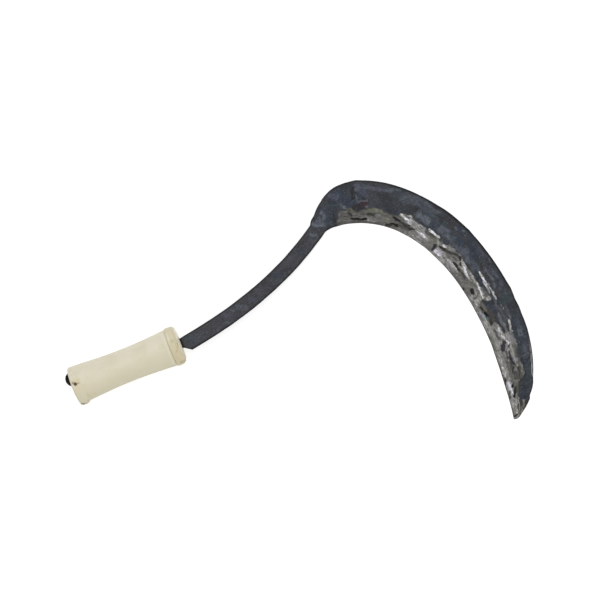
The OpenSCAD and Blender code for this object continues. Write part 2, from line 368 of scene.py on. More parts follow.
# The steel: dark forge scale with stains, a rough ground bevel of many greys, painted shade along the rounded back
# and sides, and painted near-black shade on the tang's root and hairpin
steelLook = {
    # the rim colour is painted shade along the rounded back and sides; the near-black one is painted shade on the
    # tang's root beside the ferrule and on the hairpin at the butt
    "scaleDark": (31, 33, 38), "scaleLight": (54, 59, 65), "rimShade": (27, 28, 31), "tangShade": (9, 6, 4),
    "cells": 110.0, "softness": 0.26,   # cells to a metre of the two greys, and their border
    # faint tints of the scale: colour, cells to a metre, share
    "brownTint": ((64, 59, 56), 64.0, 0.5), "blueTint": ((49, 58, 74), 80.0, 0.4),
    "tintSoftness": 0.12, "tintShift": -0.1,
    # colours of the painted stains, in the order in which they lie on the scale
    "stains": {"plain": (62, 61, 65), "pale": (90, 95, 105), "navy": (40, 50, 66), "teal": (44, 57, 60),
               "brown": (66, 59, 54), "violet": (71, 71, 84), "dark": (28, 28, 31), "pink": (104, 74, 78),
               "rust": (42, 20, 26)},
    # glazes over the ground steel
    "glazes": {"lilac": (150, 146, 168), "glass": (112, 142, 148), "plum": (58, 54, 66), "olive": (90, 92, 76)},
    # least and most that a grain lets through of stains, glazes and the painted shade of the rim
    "stainRagged": (0.55, 1.2), "glazeRagged": (0.5, 1.1), "rimRagged": (0.6, 1.2),
    # ground steel from a pit to bare, and its two tints
    "groundTones": [(0.0, (9, 8, 7)), (0.25, (50, 49, 47)), (0.5, (93, 92, 90)), (0.75, (138, 137, 136)),
                    (1.0, (196, 197, 204))],
    "groundTints": ({"cells": 90.0, "softness": 0.2}, (252, 252, 255), (254, 254, 249)),
    "borderBreakup": 0.9, "borderSoftness": 0.4,
    # grains: cells to a metre along and across, and detail
    "streak": (130.0, 420.0, 4.0), "scratch": (300.0, 950.0, 3.0), "speckle": (560.0, 700.0, 3.0),
    "cloud": (330.0, 330.0, 4.0), "shift": (3.1, 1.7, 0.0),
    # how much the grains change the brightness: least, more where it is bright, and each grain's share
    "swingLeast": 0.12, "swingMore": 1.5, "toneShares": {"streak": 0.75, "scratch": 1.1, "speckle": 0.5},
    "reliefShares": {"streak": 0.9, "scratch": 0.35}, "speckleRelief": 0.4, "pitRelief": 0.6,
    # ranges: a value from and to, and the strengths at both if they aren't 0 and 1
    "darkFlecks": (0.34, 0.5, 0.5, 0.0), "paleFlecks": (0.52, 0.66, 0.0, 0.36),
    "bare": (0.6, 0.95), "pit": (0.3, 0.05), "roughSwing": (0.3, 0.7, -0.06, 0.08),
    "scaleRough": 0.5, "groundRough": 0.42, "bareRough": 0.36, "pitRough": 0.75, "tangShadeRough": 0.85,
    "scaleMetal": 0.45, "groundMetal": 0.6, "bareMetal": 0.7, "pitMetal": 0.1, "tangShadeMetal": 0.0,
    "bumpHeight": 0.00022, "specular": 0.3,
}


def makeSteel(look):
    material, tree, shader, place = startMaterial("forgedSteel")
    lay = addNode(tree, "ShaderNodeAttribute", attribute_name="lay").outputs["Vector"]
    moved = addNode(tree, "ShaderNodeMapping", {"Vector": place, "Location": look["shift"]}).outputs[0]
    grains = {key: addGrain(tree, vector, look[key]) for key, vector in (
        ("streak", lay), ("scratch", lay), ("speckle", place), ("cloud", place))}
    speckle, cloud = grains["speckle"], grains["cloud"]

    # forge scale: two greys, faint brown and blue, the painted stains, and dark and pale flecks
    scale = addMottle(tree, place, look, look["scaleDark"], look["scaleLight"])["Color"]
    for vector, (colour, cells, share) in ((place, look["brownTint"]), (moved, look["blueTint"])):
        patch = useGroup(tree, mottleGroup, Vector=vector, Cells=cells, Softness=look["tintSoftness"],
                         Shift=look["tintShift"])["Mask"]
        scale = coat(tree, times(tree, patch, share), scale, colour)
    for key, colour in look["stains"].items():
        scale = coat(tree, addStain(tree, key, cloud, *look["stainRagged"]), scale, colour)
    # dark flecks, in the colour of the painted shade of the rim
    scale = coat(tree, addRange(tree, speckle, *look["darkFlecks"]), scale, look["rimShade"])
    scale = coat(tree, addRange(tree, speckle, *look["paleFlecks"]), scale, look["stains"]["pale"])

    # ground steel: the painted brightness, roughened along the wheel's lines, most where it is bright
    painted = addMask(tree, "tone")
    swing = plus(tree, times(tree, times(tree, painted, painted), look["swingMore"]), look["swingLeast"])
    tone = painted
    for key, share in look["toneShares"].items():
        tone = plus(tree, tone, times(tree, times(tree, minus(tree, grains[key], 0.5), share), swing))
    tint = addMottle(tree, moved, *look["groundTints"])["Color"]
    steel = mixColours(tree, 1.0, addRamp(tree, tone, look["groundTones"]), tint, "MULTIPLY")
    for key, colour in look["glazes"].items():
        steel = coat(tree, addStain(tree, key, cloud, *look["glazeRagged"]), steel, colour)

    # both together, with painted shade along the rounded back and sides, and painted near-black shade on the
    # tang's root and hairpin
    ground = useGroup(tree, wornGroup, Mask=addMask(tree, "ground"), Grain=grains["streak"],
                      Breakup=look["borderBreakup"], Softness=look["borderSoftness"])["Mask"]
    tangShade = addMask(tree, "tangShade")
    shown = mixColours(tree, ground, scale, steel)
    shown = coat(tree, addStain(tree, "rimShade", speckle, *look["rimRagged"]), shown, look["rimShade"])
    shown = coat(tree, tangShade, shown, look["tangShade"])

    # roughness, metal and relief: bare steel shines, and pits are dull and deep
    bare = times(tree, ground, addRange(tree, tone, *look["bare"]))
    pit = times(tree, ground, addRange(tree, tone, *look["pit"]))
    rough, metal = look["scaleRough"], look["scaleMetal"]
    for key, mask in (("ground", ground), ("bare", bare), ("pit", pit)):
        rough = mixValues(tree, mask, rough, look[key + "Rough"])
        metal = mixValues(tree, mask, metal, look[key + "Metal"])
    rough = plus(tree, rough, addRange(tree, speckle, *look["roughSwing"]))
    # the painted near-black shade on the tang is matte and not metal
    rough = mixValues(tree, tangShade, rough, look["tangShadeRough"])
    metal = mixValues(tree, tangShade, metal, look["tangShadeMetal"])
    relief = times(tree, speckle, look["speckleRelief"])
    for key, share in look["reliefShares"].items():
        relief = plus(tree, relief, times(tree, times(tree, grains[key], ground), share))
    relief = minus(tree, relief, times(tree, pit, look["pitRelief"]))
    finishMaterial(tree, shader, look, shown, rough, metal, relief)
    return material


# The plastic of grip and ferrule: matte cream, faintly clouded, with grime and painted shade in its corners and
# below, and painted highlights on some edges
gripLook = {
    "name": "creamPlastic", "light": (223, 217, 199), "dark": (216, 209, 187), "cells": 62.0, "softness": 0.3,
    # the yellowed colour also serves as painted shade on the lower side, the pale worn colour as painted
    # highlights, and the grime colour as painted shade in creases and below
    "agedAndShade": (205, 198, 167), "agedShare": 0.55,
    "wearAndHighlight": (250, 246, 228), "glow": (206, 188, 140), "blush": (222, 196, 166), "grimeAndShade": (92, 80, 48),
    # grains and ranges, as for the steel
    "fine": (900.0, 2600.0, 3.0), "wide": (40.0, 130.0, 2.0), "markRagged": (0.6, 1.1), "grimeRagged": (0.6, 1.15),
    "agedClouds": (0.42, 0.7, 0.0, 0.18), "grimeFlecks": (0.25, 0.5, 0.07, 0.0),
    "roughSwing": (0.3, 0.7, -0.06, 0.08), "grimeRough": 0.25, "wideRelief": 3.0,
    "rough": 0.5, "metal": 0.0, "bumpHeight": 0.00006, "specular": 0.35,
}
ferruleLook = dict(gripLook, name="agedPlastic", light=(219, 212, 188), dark=(208, 200, 173),
                   agedAndShade=(198, 186, 150), agedShare=0.7)


def makePlastic(look):
    material, tree, shader, place = startMaterial(look["name"])
    fine, wide = addGrain(tree, place, look["fine"]), addGrain(tree, place, look["wide"])
    shown = addMottle(tree, place, look, look["dark"], look["light"])["Color"]
    # yellowing, which grows into painted shade towards the lower side
    shown = coat(tree, times(tree, addMask(tree, "agedAndShade"), look["agedShare"]), shown, look["agedAndShade"])
    shown = coat(tree, addRange(tree, wide, *look["agedClouds"]), shown, look["agedAndShade"])
    shown = coat(tree, addRange(tree, fine, *look["grimeFlecks"]), shown, look["grimeAndShade"])
    # pale wear and painted highlights on lit edges, and two tints
    for key in ("wearAndHighlight", "glow", "blush"):
        shown = coat(tree, addStain(tree, key, wide, *look["markRagged"]), shown, look[key])
    # grime, with painted shade in the groove, on the underside, at the butt's border and round the tang's slot
    grimeAndShade = addStain(tree, "grimeAndShade", fine, *look["grimeRagged"])
    shown = coat(tree, grimeAndShade, shown, look["grimeAndShade"])
    rough = plus(tree, addRange(tree, wide, *look["roughSwing"]), look["rough"])
    rough = plus(tree, rough, times(tree, grimeAndShade, look["grimeRough"]))
    relief = plus(tree, fine, times(tree, wide, look["wideRelief"]))
    finishMaterial(tree, shader, look, shown, rough, look["metal"], relief)
    return material


# The pin's head: flaking rust over dark steel
rustLook = {
    "dark": (62, 50, 30), "light": (118, 98, 58), "cells": 900.0, "softness": 0.15,
    "steel": (84, 76, 60), "fine": (2500.0, 2500.0, 4.0), "bare": (0.55, 0.7, 0.0, 0.6),
    # ranges of roughness and metal, as for the steel
    "rough": (0.3, 0.7, 0.85, 0.6), "metal": (0.0, 1.0, 0.4, 0.05), "bumpHeight": 0.00015, "specular": 0.5,
}


def makeRust(look):
    material, tree, shader, place = startMaterial("rustySteel")
    flakes = addMottle(tree, place, look, look["dark"], look["light"])
    fine = addGrain(tree, place, look["fine"])
    shown = coat(tree, addRange(tree, fine, *look["bare"]), flakes["Color"], look["steel"])
    rough, metal = addRange(tree, fine, *look["rough"]), addRange(tree, flakes["Mask"], *look["metal"])
    relief = plus(tree, flakes["Mask"], fine)
    finishMaterial(tree, shader, look, shown, rough, metal, relief)
    return material


steelMaterial, rustMaterial = makeSteel(steelLook), makeRust(rustLook)
gripMaterial, ferruleMaterial = makePlastic(gripLook), makePlastic(ferruleLook)
print("materials made")


# Sizes of the pieces in mm, the same as the solid model's where both have them
grip = {
    "length": 112.8, "waist": 33.6, "waistCurve": 475.0, "body": 37.8, "endRound": 1.1, "grooveRound": 0.7,
    "bead": 40.0, "beadWide": 10.4, "beadRearRound": 2.1, "beadFrontRound": 5.0, "beadShift": 1.0,
    "beadBlend": 0.9, "bodyBlend": 0.5, "noseHigh": 17.6, "columns": 384, "uneven": 0.06,
    "dent": 0.12,   # of the butt's middle, and of the groove's inner wall
    # strength of the grime round the pin, of the painted shade at the groove, below and at the butt's border, and
    # of the grime round the steel and on the butt's face
    "pinGrime": 0.6, "seamShade": 0.015, "lowShade": 0.09, "endShade": 0.13, "steelGrime": 0.55, "faceGrime": 0.2,
    # yellowing of the butt's face, of the side, growing into painted shade towards the lower side, and of hidden
    # parts
    "faceAged": 0.55, "sideAgedAndShade": (0.15, 0.85), "hiddenAged": 0.5,
}
ferrule = {
    "across": 39.5, "wide": 9.8, "roundUpper": 4.2, "roundLower": 5.4, "backRound": 0.6, "backGap": 0.03,
    "lipHigh": 0.8, "lipWide": 1.6, "lipCorner": 1.3, "slotDeep": 0.9, "columns": 360, "uneven": 0.05,
    # yellowing of the side, growing into painted shade towards the lower side, and the painted highlight on the
    # front face
    "sideAgedAndShade": (0.35, 0.65), "frontHighlight": 0.85,
    # painted shade at the groove, grime round the peg, painted shade round the tang's slot, and grime on the lip
    "seamShade": 0.015, "pegGrime": 0.12, "slotShade": 0.6, "lipGrime": 0.05,
}
pin = {"across": 3.0, "inset": 4.4, "y": 1.2, "sunk": 0.4, "dome": 0.25}
peg = {"across": 3.0, "angle": 16.0, "deep": 3.0, "sunk": 0.4, "dome": 0.3, "noseRadius": 15.2, "grimeAndShade": 0.03,
       "agedAndShade": 0.5}
shaft = {"edgeRound": 0.35, "columns": 40, "dent": 0.08, "dentCell": 0.7}   # of pin and peg
buttX, frontX = -grip["length"] / 2, grip["length"] / 2
grooveX = frontX - ferrule["wide"]

# The forging: one bar that is blade, shank, tang and hairpin. The plan and the section laws are those
# of the solid model. Lengths d run along the lower and cutting edge from the shoulder, a across from it.
forging = {
    "tangFrontWide": 10.2, "tangFrontY": 0.15, "tangRearWide": 4.7, "tangRearY": 2.6,
    "tangFrontThick": 5.0, "tangRearThick": 4.0, "tangLead": 2.0,
    "clinchRadius": 4.65, "clinchDepth": 8.0, "clinchPoint": 1.8, "clinchFlat": 0.87,
    "shankLong": 176.6, "shankWide": 16.2, "shankThick": 5.0, "shoulderLong": 7.0, "shankY": -9.8,
    "startAngle": 8.8, "endAngle": 33.9, "bendPower": 1.26,
    # radius in mm and turn in degrees of each stretch of the cutting edge, from the heel's corner on
    "arcs": [(14.0, 33.8), (60.0, 13.3), (100.0, 44.7), (174.0, 19.3), (300.0, 14.6)],
    "pointRadius": 600.0, "pointLong": 70.0,
    "bladeWide": 42.6, "flareLong": 15.3, "flarePower": 1.7, "flareLead": 2.4,
    "taperLong": 167.0, "taperPower": 3.3, "taperPoint": 0.7, "pointWide": 5.0,
    "backThick": 3.4, "pointThick": 2.2, "edgeThick": 0.6, "plateShare": 0.85,
    "bevelStart": 192.0, "bevelRun": 8.0, "thinningLead": 40.0, "thinningLong": 70.0, "drop": 20.0,
    # width of the bevel at d
    "bevel": [(192, 13), (225, 15), (260, 15), (285, 16), (315, 18), (345, 17), (375, 17), (400, 22), (430, 22),
        (450, 16), (482, 10)],
    # how far at d the hammer has moved the back outwards, and the cutting edge inwards, from their even curves
    "back": [(165, 0), (172, 0), (176, .2), (178, .05), (180, -1.2), (183, -.1), (184.5, .75), (186, 1),
        (190, .1), (195, -.1), (200, -.4), (205, -.3), (211, .6), (216, .15), (222, .1), (232, .05),
        (245, -.55), (258, -1.1), (272, -1), (278, -.4), (285, -.2), (300, -.2), (304, .1), (308, -.3),
        (325, -.7), (345, -.4), (358, -.3), (364, .1), (374, -.9), (382, -.2), (388, -.4), (395, .1), (402, .5),
        (412, .4), (420, .5), (432, .35), (446, .1), (452, .8), (456.5, .65), (460, 0), (463, -.65), (466, .5),
        (472, -.55), (478, -1.7), (482, -.6)],
    "edge": [(170, 0), (177, .1), (182, -.5), (187, -.4), (194, -.65), (203, -.2), (215, 0), (235, -.1),
        (250, -.3), (272, -.6), (285, -.1), (305, -.4), (325, -.3), (335, 0), (375, 0), (385, .3), (400, .45),
        (415, .3), (430, .1), (450, .1), (460, .4), (475, .4), (482, .2)],
    # width and strength at d of the painted shade along the rounded back
    "rimShade": [(0, 1.7, .8), (165, 1.7, .8), (176, 1.5, .7), (190, 1.8, .85), (196, 2.4, .95), (203, 2.2, .75),
        (210, 1.8, .55), (230, 2, .75), (236, 2.2, .95), (250, 2, .85), (262, 2, .75), (272, 2.6, 1),
        (285, 2.9, 1), (300, 2.7, 1), (312, 2.2, .8), (322, 2.4, 1), (345, 2.1, 1), (360, 1.9, 1),
        (366, 1.2, .4), (372, 1.8, .95), (378, 1.6, .8), (392, 1.4, .65), (410, 1.6, .65), (418, 1.2, .3),
        (424, 1, .05), (444, 1, .05), (449, 1.5, .8), (460, 1.4, .75), (482, 1, .6)],
    "backRound": 2.4, "backRoundHigh": 1.1, "barRound": 1.3, "barRoundHigh": 0.9, "lowRound": 0.9,
    "bevelWave": 0.8, "plateBlend": 0.25, "edgeRound": 0.5, "edgeRoundHigh": 0.25,
    "hammerBlows": 150, "blowRadius": (4.0, 8.0), "blowDepth": (0.3, 1.0),
    "hammerDeep": 0.2, "groundDeep": 0.14, "pitDeep": 0.25, "lowDeep": 0.12, "outlineWave": 0.12,
    # spacing of the rings, points across top and underside, along the edge's curve, and round hairpin and tip
    "alongShank": 0.9, "alongBlade": 0.6, "topPoints": 88, "lowPoints": 24, "topCrowding": 0.45,
    "lowCrowding": 0.75, "pathPoints": 12001, "hairPoints": 29, "tipPoints": 14, "tipLong": 4,
    "closing": [(0.97, 0.18), (0.88, 0.36), (0.7, 0.45)],   # last rings at the point: size, and how far ahead
    "lastLines": 0.16, "edgeTone": 0.4, "edgeToneShare": 0.7, "stainWaver": 0.9, "stainSoftness": 0.45,
    # noises, as for noiseLayers: how strokes waver, clouds in the brightness, and the wheel's ripples
    "waverAlong": [(0.7, 2.6, 2.6, 13), (0.4, 1.2, 1.2, 14)],
    "waverAcross": [(0.6, 3.1, 3.1, 15), (0.35, 1.3, 1.3, 16)],
    "toneClouds": [(0.1, 5.28, 2.4, 17), (0.07, 1.65, 1.1, 18)],
    "ripples": [(1.0, 7.0, 7.0 / 2.2, 31), (0.6, 3.2, 3.2 / 3.0, 32)],
}

# Border of the part of the face that the wheel has reached: (d, a) corner by corner
groundOutline = [
    (191.3, -5), (191.7, 4), (193.4, 9), (195.5, 12.8), (199, 14.3), (203, 15.2), (207, 15), (209, 13.2),
    (213, 12.2), (217, 12.8), (219.5, 15.4), (222, 16.5), (230, 16.2), (234, 15.5), (236, 13.4), (245, 13.2),
    (249, 14.5), (250, 18), (253, 18.6), (256.5, 18), (258, 19.6), (260.4, 19.4), (261.8, 17.4), (264, 16.4),
    (270, 16.6), (274, 16), (276, 15.6), (283, 15), (287, 14.6), (290, 14.4), (293.5, 15), (299.5, 15.8),
    (301, 18.4), (306, 18.8), (311, 18.6), (316, 20.2), (318, 18.2), (320, 17.6), (325, 17.4), (331, 17.5),
    (337, 17), (348, 17), (353, 18.2), (357, 18.6), (361, 19.8), (364.5, 20), (365.5, 17), (363, 14),
    (360.5, 11.5), (364, 9.5), (367, 12), (371, 11.4), (375, 9), (383.6, 9.8), (386.2, 13.2), (389, 15.4),
    (395, 16), (399, 16.8), (397.5, 19), (399.5, 24), (405, 24.8), (409, 25.4), (413, 24.4), (419, 22.2),
    (424, 21.6), (429, 22.8), (436, 23.4), (442.4, 21.8), (444.8, 19.2), (445.6, 16), (448, 14), (455, 12.2),
    (459, 11.3), (465.4, 10.6), (465.8, 19.5), (480, 30), (490, 10), (490, -5),
]

# Stretches beyond that border where the wheel just touched the scale: (d, a, d, a, width, strength)
touchedStrokes = [
    (278, 16.6, 280.4, 16, 2.2, 1), (280.4, 16, 285, 16.9, 2.8, 1), (285, 16.9, 289.4, 16.5, 3, 1),
    (336.4, 23.3, 341, 23.2, 2.8, 1), (340.4, 24.1, 350, 22.4, 3.4, 1), (350, 21.8, 358, 21.4, 2.2, 1),
    (338, 24.9, 343, 25.2, 2, .8), (349.6, 24.4, 358, 24.4, 1.8, .9), (350, 23, 356, 23, 2, .55),
    (357, 24.1, 367, 23.7, 2.2, 1), (356, 20.8, 361, 20.4, 1.4, .8), (389.2, 26.2, 393, 24.8, 2.6, 1),
    (393, 24.7, 398, 23.8, 2.4, 1), (412, 37.6, 420, 35.8, 1.4, .6), (420, 35.8, 425, 34.5, 1.7, .9),
    (380, 19, 398, 19.8, 2.6, .66), (399.4, 24.6, 399.6, 19, 2, .8), (424, 34.8, 434, 32.2, 1.9, 1),
    (434, 32.2, 446, 29, 1.9, 1), (339, 29.8, 349, 31.6, 1.8, .45), (353, 29.4, 356, 29.4, 1.6, .5),
    (373.6, 25.6, 375, 24.6, 1.2, .6), (376.6, 26.4, 378, 25.4, 1.1, .7), (385.8, 29, 387.6, 28.6, 1.6, .5),
    (201.4, 33.4, 202, 33.2, .9, .8), (272.6, 36.6, 276.6, 36.4, 1.3, .45), (333.2, 38.6, 334.2, 38.2, 1, .6),
    (290, 15, 293, 12, 2.6, .8), (411.4, 27.4, 412.4, 26.8, .9, .5),
]

# Brightness of the ground steel at d, before the strokes: 0 is a pit, 1 is bare
groundTone = [
    (192, .43), (215, .42), (222, .46), (240, .45), (255, .47), (262, .58), (275, .63), (290, .6), (305, .62),
    (325, .54), (340, .47), (350, .5), (358, .52), (366, .47), (380, .57), (395, .6), (445, .6), (482, .6),
]

